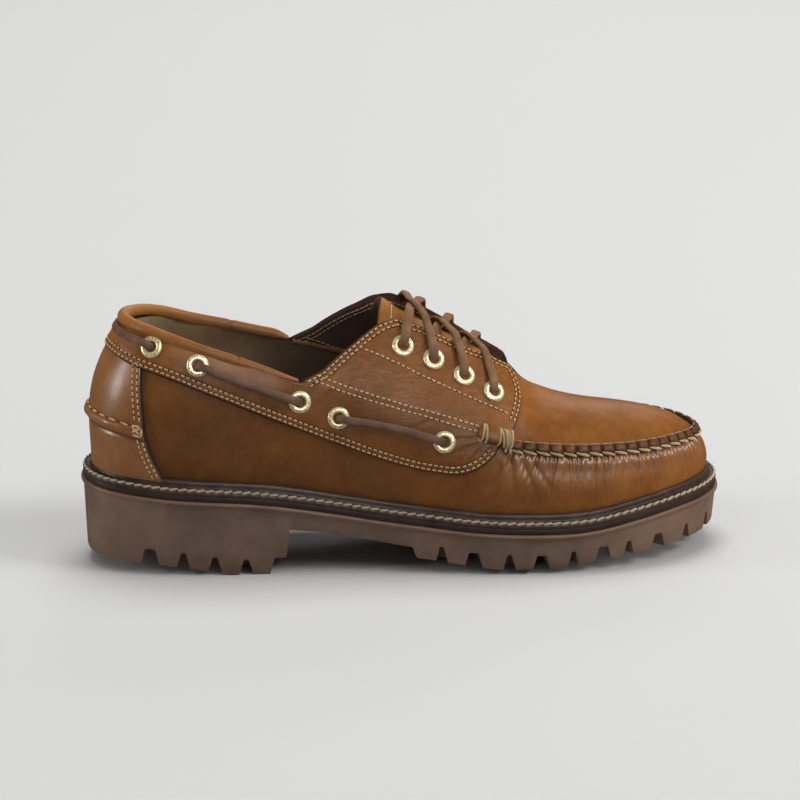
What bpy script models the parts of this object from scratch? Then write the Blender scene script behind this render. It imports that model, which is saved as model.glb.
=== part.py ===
"""Lug-soled camp moccasin, right shoe: +X toe, +Y medial, +Z up, origin on the floor under mid-length."""

import math
from collections import namedtuple

import bmesh
import bpy
import numpy as np
from mathutils import Vector

MM = 0.001

# Driving sizes in millimetres
HALF_LENGTH = 150.0
SEAT_GAP = 0.3
PANEL_GAP = 0.45
RIM_HEIGHT = 1.8
RIM_STEP = 1.0
SOLE_DRAFT = 2.2
MIDSOLE_THICK = 2.0
FOOT_GAP = 0.5
WELT_THICK = 3.0
WELT_LIP = 2.6
WELT_LIP_WIDTH = 1.5
WELT_CLEAR = 1.0
FEATHER_INSET = 6.3
UPPER_WALL = 2.0
PANEL_THICK = 1.4
INSOLE_THICK = 3.0
TONGUE_THICK = 2.2
LUG_DEPTH = 7.2
EDGE_CAMBER = 2.6
LACE_RADIUS = 1.7
CROSSING_REACH = 0.66
EYELET_RADIUS = 5.1
EYELET_HOLE = 2.5
EYELET_THICK = 1.3
EYELET_STEPS = 10
HEEL_RIDGE_RISE = 2.2
HEEL_PANEL_GAP = 0.02
MIDSOLE_INSET = 0.7
WELT_INSET = 0.9
INSOLE_GAP = 1.2
TONGUE_GAP = 0.8
TONGUE_DOME = 2.8
DOME_FRONT = 46.0
DOME_BACK = -12.0
DOME_RUN = 8.0
LACE_TURN_CLEAR = 0.2
CUTTER_BELOW = 2.0
CUTTER_OUT = 6.0
CUTTER_SPARE = 0.6

# Plan of the outsole: centre line and half width at each station
SolePlan = namedtuple("SolePlan", "x centre half")
SOLE_PLAN = (
    SolePlan(-150, 0.0, 0.0),
    SolePlan(-120, -0.5, 33.0),
    SolePlan(-90, -0.8, 37.3),
    SolePlan(-55, -1.8, 36.8),
    SolePlan(-25, -3.2, 37.0),
    SolePlan(0, -3.4, 40.6),
    SolePlan(30, -2.0, 48.0),
    SolePlan(60, -0.2, 52.3),
    SolePlan(85, 1.0, 51.4),
    SolePlan(110, 2.2, 45.0),
    SolePlan(130, 3.0, 34.6),
    SolePlan(150, 3.5, 0.0),
)
SOLE_HEEL_RADIUS = 36.0
SOLE_TOE_RADIUS = 37.0

# Side view of the sole: top of the rubber, and the tread down its middle
SoleSide = namedtuple("SoleSide", "x seat")
SOLE_SIDE = (
    SoleSide(-150, 40.0),
    SoleSide(-115, 36.8),
    SoleSide(-68, 33.5),
    SoleSide(-36, 28.6),
    SoleSide(-14, 25.1),
    SoleSide(6, 22.7),
    SoleSide(30, 20.4),
    SoleSide(55, 19.4),
    SoleSide(80, 19.6),
    SoleSide(105, 22.8),
    SoleSide(125, 25.4),
    SoleSide(150, 27.2),
)
Tread = namedtuple("Tread", "x low camber")
TREAD = (
    Tread(-150, 6.4, 0.0),
    Tread(-135, 5.8, 0.0),
    Tread(-116, 4.8, 0.0),
    Tread(-100, 3.0, 0.0),
    Tread(-82, 0.0, 0.0),
    Tread(-65, 0.0, 0.0),
    Tread(-63, 7.4, 0.0),
    Tread(-57.5, 7.8, 0.0),
    Tread(-56, 21.0, 0.0),
    Tread(-40, 19.6, 0.0),
    Tread(-24, 16.6, 0.0),
    Tread(0, 12.4, 0.0),
    Tread(2, 5.4, 2.0),
    Tread(16, 3.4, 2.2),
    Tread(38, 0.0, 2.6),
    Tread(68, 0.0, 2.6),
    Tread(84, 2.2, 2.4),
    Tread(100, 4.2, 1.6),
    Tread(122, 6.6, 0.8),
    Tread(135, 8.4, 0.4),
    Tread(150, 11.0, 0.0),
)

# Grooves between the edge lugs: place, mouth and root widths, reach in from the edge
Groove = namedtuple("Groove", "x mouth root reach")
EDGE_REACH = 15.0
EDGE_GROOVES = (
    Groove(-120.5, 8.4, 4.8, EDGE_REACH),
    Groove(-105.0, 5.6, 2.3, EDGE_REACH),
    Groove(-90.5, 6.0, 2.3, EDGE_REACH),
    Groove(-76.0, 6.0, 2.4, EDGE_REACH),
    Groove(13.0, 5.0, 1.8, EDGE_REACH),
    Groove(44.0, 5.4, 1.8, EDGE_REACH),
    Groove(74.0, 4.6, 1.8, EDGE_REACH),
    Groove(101.0, 5.2, 1.8, EDGE_REACH),
    Groove(116.0, 7.6, 4.0, EDGE_REACH),
    Groove(131.0, 4.6, 1.8, EDGE_REACH),
    Groove(143.0, 4.2, 1.8, EDGE_REACH),
)
CROSS_GROOVES = (
    Groove(28.0, 8.8, 4.6, 0.0),
    Groove(59.0, 8.8, 4.4, 0.0),
    Groove(88.0, 8.4, 4.2, 0.0),
)
CHANNEL_OFFSET = 17.0
CHANNEL_WIDTH = 4.0
CHANNEL_BACK = 8.0
CHANNEL_FRONT = 112.0

# Topline of the walls: the collar behind, the eyestay's foot, then the seam round the plug
TopLine = namedtuple("TopLine", "x centre half lateral_z medial_z bulge")
TOP_LINE = (
    TopLine(-129, 0.0, 0.0, 111.5, 111.5, 7.2),
    TopLine(-117, 0.0, 20.5, 110.6, 110.6, 6.6),
    TopLine(-96, 0.0, 28.2, 104.6, 105.0, 5.2),
    TopLine(-66, -0.6, 30.0, 95.0, 98.2, 3.6),
    TopLine(-50, -0.9, 30.0, 90.2, 94.6, 3.0),
    TopLine(0, -1.6, 34.0, 78.0, 80.0, 3.0),
    TopLine(30, -1.2, 39.5, 66.0, 67.0, 3.2),
    TopLine(45, -0.6, 41.4, 59.6, 59.0, 3.4),
    TopLine(60, -0.2, 41.8, 57.2, 55.6, 3.5),
    TopLine(90, 0.6, 38.0, 54.6, 53.0, 3.4),
    TopLine(114.5, 1.8, 29.0, 53.0, 51.6, 3.1),
    TopLine(129, 2.6, 18.4, 51.8, 51.0, 3.2),
    TopLine(138.8, 3.2, 0.0, 50.4, 50.4, 3.4),
)
TOP_HEEL_RADIUS = 20.0
TOP_TOE_RADIUS = 21.0

# Crown line of the instep and plug
Crown = namedtuple("Crown", "x z")
CROWN = (
    Crown(-60, 130.0),
    Crown(-50, 128.7),
    Crown(-25, 126.0),
    Crown(-10, 123.5),
    Crown(0, 119.8),
    Crown(16, 111.0),
    Crown(30, 103.0),
    Crown(43, 94.5),
    Crown(50, 87.2),
    Crown(57, 79.4),
    Crown(67, 74.0),
    Crown(78, 70.4),
    Crown(89, 68.0),
    Crown(100, 66.6),
    Crown(118, 64.0),
    Crown(130, 60.6),
    Crown(138.8, 55.6),
)
BULGE_SKEW = 1.25
FAN_START = 60.0
FAN_CENTRE = 104.0

# Throat opening, as a share of the half width left open at each station
Throat = namedtuple("Throat", "x lateral medial")
THROAT = (
    Throat(-50, 1.0, 1.0),
    Throat(-40, 0.91, 0.88),
    Throat(-25, 0.70, 0.63),
    Throat(-14, 0.53, 0.46),
    Throat(-5, 0.42, 0.37),
    Throat(16, 0.38, 0.36),
    Throat(30, 0.36, 0.36),
    Throat(42, 0.32, 0.32),
    Throat(49, 0.22, 0.22),
    Throat(54, 0.0, 0.0),
)
COLLAR_FRONT = THROAT[0].x
THROAT_FRONT = THROAT[-1].x

# Tongue: width at each station, and the shares of the half width its rows lie on
Tongue = namedtuple("Tongue", "x width")
TONGUE = (
    Tongue(-12, 0.58),
    Tongue(-9, 0.70),
    Tongue(-4, 1.0),
    Tongue(3, 1.0),
    Tongue(12, 1.0),
    Tongue(21, 1.0),
    Tongue(30, 1.0),
    Tongue(38, 1.0),
    Tongue(46, 1.0),
    Tongue(55, 1.0),
    Tongue(63, 1.0),
)
TongueRow = namedtuple("TongueRow", "share")
TONGUE_ACROSS = tuple(TongueRow(share) for share in (0.74, 0.58, 0.42, 0.3, 0.16, 0.0))

# Saddle panel: lower edge by height, and front edge by the share of the way up it
SaddleFoot = namedtuple("SaddleFoot", "x z")
SADDLE_FOOT = (
    SaddleFoot(-129, 100.5),
    SaddleFoot(-120, 97.4),
    SaddleFoot(-112, 95.0),
    SaddleFoot(-87, 85.2),
    SaddleFoot(-60, 73.6),
    SaddleFoot(-30, 61.2),
    SaddleFoot(-11, 54.0),
    SaddleFoot(5, 49.2),
    SaddleFoot(14, 47.7),
    SaddleFoot(21, 47.1),
    SaddleFoot(27, 48.3),
    SaddleFoot(33, 51.4),
    SaddleFoot(39, 56.6),
    SaddleFoot(44, 59.6),
)
SEAM_SHARE = 0.4
FRONT_FLARE = 0.8
FLARE_START = 22.0
FLARE_RUN = 20.0
SaddleFront = namedtuple("SaddleFront", "x front")
SADDLE_FRONT = (
    SaddleFront(0.0, 38.5),
    SaddleFront(0.2, 40.2),
    SaddleFront(0.4, 43.5),
    SaddleFront(0.52, 48.0),
    SaddleFront(0.66, 51.0),
    SaddleFront(0.78, 51.7),
    SaddleFront(0.9, 50.2),
    SaddleFront(1.0, 47.5),
)

# Heel panels: how far round they reach at each level of the wall, and the ridge between them
HeelReach = namedtuple("HeelReach", "x turn")
HEEL_REACH = (
    HeelReach(0.0, 0.72),
    HeelReach(0.3, 0.60),
    HeelReach(0.5, 0.535),
    HeelReach(0.9, 0.48),
)
HeelRidge = namedtuple("HeelRidge", "x level")
HEEL_RIDGE = (HeelRidge(0.0, 0.41), HeelRidge(0.3, 0.385), HeelRidge(0.6, 0.36))

# Eyelets on the lateral side, which the medial side repeats
EyeletSpot = namedtuple("EyeletSpot", "name x z")
COLLAR_EYELETS = (
    EyeletSpot("collar_1", -114.6, 105.8),
    EyeletSpot("collar_2", -94.8, 98.6),
    EyeletSpot("collar_3", -48.7, 81.0),
    EyeletSpot("collar_4", -30.8, 73.4),
    EyeletSpot("collar_5", 15.8, 62.3),
)
ThroatEyelet = namedtuple("ThroatEyelet", "name x share")
THROAT_EYELETS = (
    ThroatEyelet("throat_1", -2.6, 0.65),
    ThroatEyelet("throat_2", 11.3, 0.65),
    ThroatEyelet("throat_3", 25.0, 0.665),
    ThroatEyelet("throat_4", 38.2, 0.685),
)

# Radius of the collar roll and the seam ridge's section
RollSize = namedtuple("RollSize", "x radius")
ROLL_SIZE = (RollSize(-129, 3.1), RollSize(-118, 2.4), RollSize(-100, 1.9), RollSize(-50, 1.5))
ROLL_SHORT = 6.0
ROLL_INSET = 0.6
SEAM_HALF_WIDTH = 2.5
SEAM_HALF_HEIGHT = 1.9
SEAM_BACK = 29.0
KNOT_FRONT = 47.0
KNOT_RUN = 4.0
KNOT_SWELL = 0.3
SEAM_RAMP_FRONT = 57.0
SEAM_RAMP = 8.0

# Material colours, linear
LEATHER = (0.30, 0.115, 0.030)
LEATHER_DARK = (0.055, 0.026, 0.016)
RUBBER = (0.135, 0.080, 0.055)
LACE_BROWN = (0.19, 0.090, 0.048)
BRASS = (0.72, 0.56, 0.34)
LINING = (0.17, 0.115, 0.065)


def hermite(stations, values, at, flat_ends=False):
    """Values on a smooth curve through the stations."""
    slopes = np.gradient(values, stations)
    if flat_ends:
        slopes[0] = slopes[-1] = 0.0
    at = np.clip(at, stations[0], stations[-1])
    i = np.clip(np.searchsorted(stations, at) - 1, 0, len(stations) - 2)
    step = stations[i + 1] - stations[i]
    s = (at - stations[i]) / step
    start = (1 + 2 * s) * (1 - s) ** 2 * values[i] + s * (1 - s) ** 2 * step * slopes[i]
    end = s * s * (3 - 2 * s) * values[i + 1] + s * s * (s - 1) * step * slopes[i + 1]
    return start + end


def column(rows, name):
    return np.array([getattr(row, name) for row in rows], float)


def smooth(rows, name, at):
    return hermite(column(rows, "x"), column(rows, name), np.asarray(at, float))


def straight(rows, name, at):
    return np.interp(np.asarray(at, float), column(rows, "x"), column(rows, name))


class Loop:
    """Closed plan curve; turn 0 is the heel, pi the toe, negative turns lateral and positive ones medial."""

    def __init__(self, rows, heel_radius, toe_radius):
        self.rows = rows
        stations = column(rows, "x")
        self.middle = (stations[0] + stations[-1]) / 2
        self.reach = (stations[-1] - stations[0]) / 2
        self.turns = np.arccos(np.clip((self.middle - stations) / self.reach, -1, 1))
        half = column(rows, "half")
        self.fullness = np.empty_like(half)
        self.fullness[1:-1] = half[1:-1] / np.sin(self.turns[1:-1])
        self.fullness[0] = math.sqrt(heel_radius * self.reach)
        self.fullness[-1] = math.sqrt(toe_radius * self.reach)

    def at(self, turn):
        """Plan point at a turn, as x and y arrays."""
        folded = np.abs((turn + math.pi) % (2 * math.pi) - math.pi)
        x = self.middle - self.reach * np.cos(turn)
        y = smooth(self.rows, "centre", x) + np.sin(turn) * hermite(self.turns, self.fullness, folded, True)
        return x, y

    def normal(self, turn):
        """Outward plan normal at a turn."""
        x0, y0 = self.at(turn - 1e-3)
        x1, y1 = self.at(turn + 1e-3)
        length = np.hypot(x1 - x0, y1 - y0)
        return -(y1 - y0) / length, (x1 - x0) / length

    def inset(self, turn, depth):
        x, y = self.at(turn)
        nx, ny = self.normal(turn)
        return x - nx * depth, y - ny * depth

    def turn_at(self, x):
        return np.arccos(np.clip((self.middle - np.asarray(x, float)) / self.reach, -1, 1))


SOLE = Loop(SOLE_PLAN, SOLE_HEEL_RADIUS, SOLE_TOE_RADIUS)
TOP = Loop(TOP_LINE, TOP_HEEL_RADIUS, TOP_TOE_RADIUS)
UPPER_FOOT = SEAT_GAP + MIDSOLE_THICK + FOOT_GAP


def seat(x):
    """Height of the rubber's top face."""
    return smooth(SOLE_SIDE, "seat", x)


def foot_line(turn):
    """Lower edge of the upper's wall."""
    x, y = SOLE.inset(turn, FEATHER_INSET)
    return x, y, seat(x) + UPPER_FOOT


def top_line(turn):
    x, y = TOP.at(turn)
    z = np.where(np.sin(turn) < 0, smooth(TOP_LINE, "lateral_z", x), smooth(TOP_LINE, "medial_z", x))
    return x, y, z


def raw_skin(turn, level):
    """Outer face of the upper: level 0 its foot, 1 the topline or seam, 2 the crown line."""
    turn, level = np.broadcast_arrays(np.asarray(turn, float), np.asarray(level, float))
    fx, fy, fz = foot_line(turn)
    tx, ty, tz = top_line(turn)
    nx, ny = TOP.normal(turn)
    arc = np.sin(math.pi * np.abs(level) ** BULGE_SKEW) * np.sign(level)
    swell = smooth(TOP_LINE, "bulge", tx) * arc
    wx = fx + (tx - fx) * level + nx * swell
    wy = fy + (ty - fy) * level + ny * swell
    wall = np.stack([wx, wy, fz + (tz - fz) * level], -1)
    open_share = 2 - level
    run = np.clip((tx - FAN_START) / (TOP_LINE[-1].x - FAN_START), 0, 1)
    bend = 1 - (FAN_CENTRE - FAN_START) / (TOP_LINE[-1].x - FAN_START)
    cx = np.where(run > 0, FAN_START + (TOP_LINE[-1].x - FAN_START) * run * (1 - bend * run), tx)
    cy = smooth(TOP_LINE, "centre", cx)
    px = cx + open_share * (tx - cx)
    py = cy + open_share * (ty - cy)
    pz = smooth(CROWN, "z", px) + (tz - smooth(CROWN, "z", tx)) * open_share**2
    return np.where((level <= 1)[..., None], wall, np.stack([px, py, pz], -1))


def skin_normal(turn, level):
    """Outward normal, read just beside the crown line, where the two sides meet."""
    level = np.minimum(level, 1.97)
    along = raw_skin(turn + 2e-3, level) - raw_skin(turn - 2e-3, level)
    upward = raw_skin(turn, level + 4e-3) - raw_skin(turn, level - 4e-3)
    normal = np.cross(upward, along)
    return normal / np.linalg.norm(normal, axis=-1, keepdims=True)


def skin(turn, level, lift=0.0):
    """Point on the upper's outer face, lifted off it along its normal."""
    turn, level, lift = np.broadcast_arrays(*(np.asarray(v, float) for v in (turn, level, lift)))
    return raw_skin(turn, level) + skin_normal(turn, level) * lift[..., None]


def level_at(turn, z):
    """Wall level that has a height."""
    low = foot_line(turn)[2]
    return (z - low) / (top_line(turn)[2] - low)


def throat_share(turn, station):
    """Share of the half width left open on the turn's side."""
    lateral = straight(THROAT, "lateral", station)
    return np.where(np.asarray(turn) < 0, lateral, straight(THROAT, "medial", station))


def add_object(name, mesh, colour, roughness=0.55, metallic=0.0):
    material = bpy.data.materials.new(name)
    material.use_nodes = True
    shader = material.node_tree.nodes["Principled BSDF"]
    shader.inputs["Base Color"].default_value = (*colour, 1.0)
    shader.inputs["Roughness"].default_value = roughness
    shader.inputs["Metallic"].default_value = metallic
    mesh.materials.append(material)
    part = bpy.data.objects.new(name, mesh)
    PARTS.objects.link(part)
    return part


def solid_mesh(name, points, faces, smooth_angle=40.0):
    """Closed mesh in metres, its double points merged and its faces turned outward."""
    mesh = bpy.data.meshes.new(name)
    mesh.from_pydata([tuple(float(c) * MM for c in p) for p in points], [], faces)
    work = bmesh.new()
    work.from_mesh(mesh)
    bmesh.ops.remove_doubles(work, verts=work.verts, dist=2e-6)
    bmesh.ops.dissolve_degenerate(work, edges=work.edges, dist=2e-6)
    bmesh.ops.recalc_face_normals(work, faces=work.faces)
    if work.calc_volume(signed=True) < 0:
        bmesh.ops.reverse_faces(work, faces=work.faces)
    work.to_mesh(mesh)
    work.free()
    mesh.shade_smooth()
    mesh.set_sharp_from_angle(angle=math.radians(smooth_angle))
    return mesh


def shell_mesh(name, outer, inner, faces):
    """Closed mesh between two like surfaces: both faces, joined round every open edge."""
    outer = np.asarray(outer).reshape(-1, 3)
    inner = np.asarray(inner).reshape(-1, 3)
    first = {}
    index = [first.setdefault(tuple(np.round(p, 3)), i) for i, p in enumerate(outer)]
    kept = []
    for face in faces:
        corners = list(dict.fromkeys(index[i] for i in face))
        if len(corners) > 2:
            kept.append(corners)
    edges = {}
    for face in kept:
        for a, b in zip(face, face[1:] + face[:1]):
            edges[(a, b)] = edges.get((a, b), 0) + 1
    count = len(outer)
    solid = kept + [[i + count for i in reversed(face)] for face in kept]
    solid += [[b, a, a + count, b + count] for a, b in edges if (b, a) not in edges]
    return solid_mesh(name, np.concatenate([outer, inner]), solid)


def grid_faces(columns, rows, start=0):
    faces = []
    for i in range(columns - 1):
        for j in range(rows - 1):
            here = start + i * rows + j
            faces.append([here, here + rows, here + rows + 1, here + 1])
    return faces


def panel_mesh(name, turns, levels, low, high):
    """Panel over the upper between two lifts; turns and levels are grids of columns and rows."""
    faces = grid_faces(*turns.shape)
    return shell_mesh(name, skin(turns, levels, high), skin(turns, levels, low), faces)


def ring_loft(name, rings, closed=True):
    """Solid skinned over rings; with closed set the last ring joins the first, else both ends are filled."""
    rings = np.asarray(rings)
    count, size = rings.shape[:2]
    steps = range(count) if closed else range(count - 1)
    faces = []
    for i in steps:
        here, after = i * size, (i + 1) % count * size
        faces += [[here + j, here + (j + 1) % size, after + (j + 1) % size, after + j] for j in range(size)]
    if not closed:
        faces += [list(range(size))[::-1], [(count - 1) * size + j for j in range(size)]]
    return solid_mesh(name, rings.reshape(-1, 3), faces)


def side_turns():
    """Stations from heel to toe on one side, closest where the outline turns."""
    heel = np.linspace(0, TOP.turn_at(COLLAR_FRONT), 12)
    throat = TOP.turn_at([r.x for r in THROAT[1:]])
    waist = TOP.turn_at([6.0, 23.0, 36.0])
    toe = np.linspace(TOP.turn_at(THROAT_FRONT), math.pi, 13)[1:]
    return np.sort(np.concatenate([heel, throat, waist, toe]))


def make_upper():
    turns = side_turns()
    first_open = int(np.argmin(np.abs(turns - TOP.turn_at(COLLAR_FRONT))))
    wall_levels = np.array([0.0, 0.16, 0.38, 0.6, 0.82, 1.0])
    around = np.concatenate([-turns, turns[-2:0:-1]])
    points_at = [(t, v) for t in around for v in wall_levels]
    rows = len(wall_levels)
    faces = []
    for i in range(len(around)):
        after = (i + 1) % len(around)
        for j in range(rows - 1):
            faces.append([after * rows + j, i * rows + j, i * rows + j + 1, after * rows + j + 1])
    shares = np.linspace(0, 1, 6)
    for side in (-1, 1):
        start = len(points_at)
        front = turns[first_open:]
        for t in front:
            reach = 1 - throat_share(side, TOP.at(t)[0])
            points_at += [(side * t, 1 + reach * share) for share in shares]
        strip = grid_faces(len(front), len(shares), start)
        faces += [face[::-1] for face in strip] if side < 0 else strip
    spots = np.array(points_at)
    outer = skin(spots[:, 0], spots[:, 1])
    inner = skin(spots[:, 0], spots[:, 1], -UPPER_WALL)
    spine = np.isclose(spots[:, 1], 2.0)
    outer[spine, 1] = smooth(TOP_LINE, "centre", outer[spine, 0])
    add_object("upper", shell_mesh("upper", outer, inner, faces), LEATHER)


def flare(x):
    """Extra lift of the eyestay's front end, where it stands off the plug."""
    return FRONT_FLARE * np.clip((np.asarray(x) - FLARE_START) / FLARE_RUN, 0, 1)


def make_saddle():
    """Collar band and eyestays in one panel round the heel."""
    wall_rows = np.linspace(0, 1, 5)
    up = np.concatenate([wall_rows * SEAM_SHARE, SEAM_SHARE + wall_rows[1:] * (1 - SEAM_SHARE)])
    along = np.concatenate([np.linspace(0, 0.26, 6), np.linspace(0.26, 1, 16)[1:]])
    turns = along[:, None] * TOP.turn_at(smooth(SADDLE_FRONT, "front", up))[None, :]
    station = TOP.at(turns)[0]
    columns = []
    for side in (-1, 1):
        open_share = throat_share(side, np.minimum(station, SADDLE_FRONT[-1].front))
        foot_level = level_at(side * turns, smooth(SADDLE_FOOT, "z", station))
        wall_level = foot_level + (1 - foot_level) * np.clip(up / SEAM_SHARE, 0, 1)
        top_level = (1 - open_share) * np.clip((up - SEAM_SHARE) / (1 - SEAM_SHARE), 0, 1)
        columns.append((side * turns, wall_level + top_level))
    turns = np.concatenate([columns[0][0][::-1], columns[1][0][1:]])
    levels = np.concatenate([columns[0][1][::-1], columns[1][1][1:]])
    low = PANEL_GAP + flare(TOP.at(turns)[0])
    mesh = panel_mesh("saddle", turns, levels, low, low + PANEL_THICK)
    add_object("saddle", mesh, LEATHER)


def heel_grid(low, high, rows, columns=13):
    """Grid of turns and levels round the heel between two level functions of the turn."""
    across = np.linspace(-1, 1, columns)
    up = np.linspace(0, 1, rows)
    guess = np.abs(across) * 0.5
    levels = low(guess)[:, None] + (high(guess) - low(guess))[:, None] * up[None, :]
    turns = across[:, None] * smooth(HEEL_REACH, "turn", levels)
    return turns, levels


def ridge_level(turn):
    return smooth(HEEL_RIDGE, "level", np.abs(turn))


def make_heel_panels():
    def counter_foot(turn):
        return ridge_level(turn) + HEEL_PANEL_GAP

    def counter_top(turn):
        return level_at(-turn, smooth(SADDLE_FOOT, "z", TOP.at(turn)[0])) - HEEL_PANEL_GAP

    turns, levels = heel_grid(counter_foot, counter_top, 5)
    mesh = panel_mesh("heel_counter", turns, levels, PANEL_GAP, PANEL_GAP + PANEL_THICK)
    add_object("heel_counter", mesh, LEATHER)

    def foxing_foot(turn):
        return level_at(-turn, foot_line(turn)[2] + WELT_THICK + WELT_LIP + WELT_CLEAR)

    turns, levels = heel_grid(foxing_foot, ridge_level, 7)
    rise = np.linspace(0, 1, 7) ** 6 * HEEL_RIDGE_RISE
    high = PANEL_GAP + PANEL_THICK + np.broadcast_to(rise, turns.shape)
    mesh = panel_mesh("heel_foxing", turns, levels, PANEL_GAP, high)
    add_object("heel_foxing", mesh, LEATHER)


def make_collar_roll():
    end = TOP.turn_at(COLLAR_FRONT - ROLL_SHORT)
    turns = np.linspace(-end, end, 29)
    x, y, z = top_line(turns)
    nx, ny = TOP.normal(turns)
    radius = smooth(ROLL_SIZE, "radius", x)
    rings = []
    for angle in np.linspace(0, 2 * math.pi, 6, endpoint=False):
        out = radius * math.cos(angle) - ROLL_INSET
        up = SEAT_GAP + radius * (1 + math.sin(angle))
        rings.append(np.stack([x + nx * out, y + ny * out, z + up], -1))
    add_object("collar_roll", ring_loft("collar_roll", np.stack(rings, 1), closed=False), LEATHER)


def make_moc_seam():
    """Raised seam round the toe on the crease of wall and plug, with a thicker bound roll at each end."""
    start = TOP.turn_at(SEAM_BACK)
    turns = np.linspace(start, 2 * math.pi - start, 45)
    crease = raw_skin(turns, 1.0)
    up = skin_normal(turns, 1.0)
    along = np.gradient(crease, axis=0)
    along /= np.linalg.norm(along, axis=1, keepdims=True)
    across = np.cross(along, up)
    over_panel = np.clip((SEAM_RAMP_FRONT - crease[:, :1]) / SEAM_RAMP, 0, 1)
    step = PANEL_THICK + FRONT_FLARE + 2 * SEAT_GAP
    swell = 1 + KNOT_SWELL * np.clip((KNOT_FRONT - crease[:, :1]) / KNOT_RUN, 0, 1)
    centre = crease + up * (SEAM_HALF_HEIGHT * swell + SEAT_GAP + over_panel * step)
    rings = []
    for angle in np.linspace(0, 2 * math.pi, 6, endpoint=False):
        sideways = across * SEAM_HALF_WIDTH * math.cos(angle)
        rings.append(centre + (sideways + up * SEAM_HALF_HEIGHT * math.sin(angle)) * swell)
    add_object("moc_seam", ring_loft("moc_seam", np.stack(rings, 1), closed=False), LEATHER)


def make_tongue():
    """Tongue under the eyestays, domed up into the throat between them."""
    stations = column(TONGUE, "x")
    one_side = column(TONGUE_ACROSS, "share")
    turns = TOP.turn_at(stations)
    shares = column(TONGUE, "width")[:, None] * np.concatenate([one_side, one_side[-2::-1]])[None, :]
    side = np.concatenate([-np.ones(len(one_side) - 1), np.ones(len(one_side))])
    turn_grid = turns[:, None] * side[None, :]
    slot = np.maximum(throat_share(-1, np.maximum(stations, THROAT[4].x)), 0.1)
    rise = TONGUE_DOME * np.clip((DOME_FRONT - stations) / DOME_RUN, 0, 1)
    rise *= np.clip((stations - DOME_BACK) / DOME_RUN, 0, 1)
    high = -UPPER_WALL - TONGUE_GAP + rise[:, None] * np.clip(1 - (shares / slot[:, None]) ** 2, 0, 1)
    top = skin(turn_grid, 2 - shares, high)
    under = skin(turn_grid, 2 - shares, high - TONGUE_THICK)
    mesh = shell_mesh("tongue", top, under, grid_faces(*turn_grid.shape))
    add_object("tongue", mesh, LEATHER)


def plate_rings(turns, layers):
    """Rings of a plate from (inset, height over the seat) layers."""
    rings = []
    for inset, height in layers:
        x, y = SOLE.inset(turns, inset)
        rings.append(np.stack([x, y, seat(x) + height], -1))
    return np.stack(rings)


def capped_plate(name, rings, low_cap, high_cap):
    """Solid over rings that run lateral heel to toe and back medial, its ends capped by strips across."""
    count, size = rings.shape[:2]
    points = list(rings.reshape(-1, 3))
    faces = []
    for i in range(count - 1):
        here, after = i * size, (i + 1) * size
        faces += [[here + j, here + (j + 1) % size, after + (j + 1) % size, after + j] for j in range(size)]
    for ring, shape in ((0, low_cap), (count - 1, high_cap)):
        half = size // 2
        base = ring * size
        across = (0.25, 0.5, 0.75) if shape is not None else ()
        lines = []
        for j in range(half + 1):
            a, b = base + j, base + (size - j) % size
            line = [a]
            if a != b:
                for share in across:
                    line.append(len(points))
                    points.append(shape(points[a] + (points[b] - points[a]) * share, share))
                line.append(b)
            lines.append(line)
        for one, two in zip(lines, lines[1:]):
            if len(one) == len(two):
                faces += [[one[k], one[k + 1], two[k + 1], two[k]] for k in range(len(one) - 1)]
            else:
                tip, row = (one[0], two) if len(one) == 1 else (two[0], one)
                faces += [[tip, row[k], row[k + 1]] for k in range(len(row) - 1)]
    return solid_mesh(name, points, faces, 30.0)


def closed_turns(stations):
    """Turns round the sole, lateral heel to toe and back on the medial side, on like stations."""
    one_side = SOLE.turn_at(stations)
    return np.concatenate([-one_side, one_side[-2:0:-1]])


def plain_stations(count):
    return -HALF_LENGTH * np.cos(np.linspace(0, math.pi, count))


def make_midsole():
    turns = closed_turns(plain_stations(31))
    layers = ((MIDSOLE_INSET, SEAT_GAP), (MIDSOLE_INSET, SEAT_GAP + MIDSOLE_THICK))
    add_object("midsole", capped_plate("midsole", plate_rings(turns, layers), None, None), LEATHER_DARK)


def make_insole():
    turns = closed_turns(plain_stations(31))
    inset = FEATHER_INSET + UPPER_WALL + INSOLE_GAP
    layers = ((inset, UPPER_FOOT), (inset, UPPER_FOOT + INSOLE_THICK))
    add_object("insole", capped_plate("insole", plate_rings(turns, layers), None, None), LINING)


def make_welt():
    """Strip round the upper's foot, with a raised lip against the wall."""
    turns = closed_turns(plain_stations(29))
    x, y = SOLE.inset(turns, WELT_INSET)
    base = seat(x)
    outer = [
        np.stack([x, y, base + UPPER_FOOT], -1),
        np.stack([x, y, base + UPPER_FOOT + WELT_THICK], -1),
    ]
    lip_top = seat(foot_line(turns)[0]) + UPPER_FOOT + WELT_THICK + WELT_LIP
    wall_top = skin(turns, level_at(turns, lip_top), PANEL_GAP)
    wall_mid = skin(turns, level_at(turns, lip_top - WELT_LIP), PANEL_GAP)
    wall_low = skin(turns, 0.0, PANEL_GAP)
    wall_low[:, 2] = foot_line(turns)[2]
    nx, ny = SOLE.normal(turns)
    out = np.stack([nx, ny, np.zeros_like(nx)], -1)
    lip_outer = wall_top + out * WELT_LIP_WIDTH * 0.8
    lip_foot = wall_mid + out * (WELT_LIP_WIDTH + 0.5)
    rings = np.stack([wall_low, *outer, lip_foot, lip_outer, wall_top, wall_mid], 1)
    add_object("welt", ring_loft("welt", rings), LEATHER_DARK)


def tread_height(x, share):
    """Underside of the rubber across a station; share runs 0 to 1 from edge to edge."""
    edge = np.clip((np.abs(2 * share - 1) - 0.5) / 0.5, 0, 1)
    return straight(TREAD, "low", x) + straight(TREAD, "camber", x) * edge**2


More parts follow.
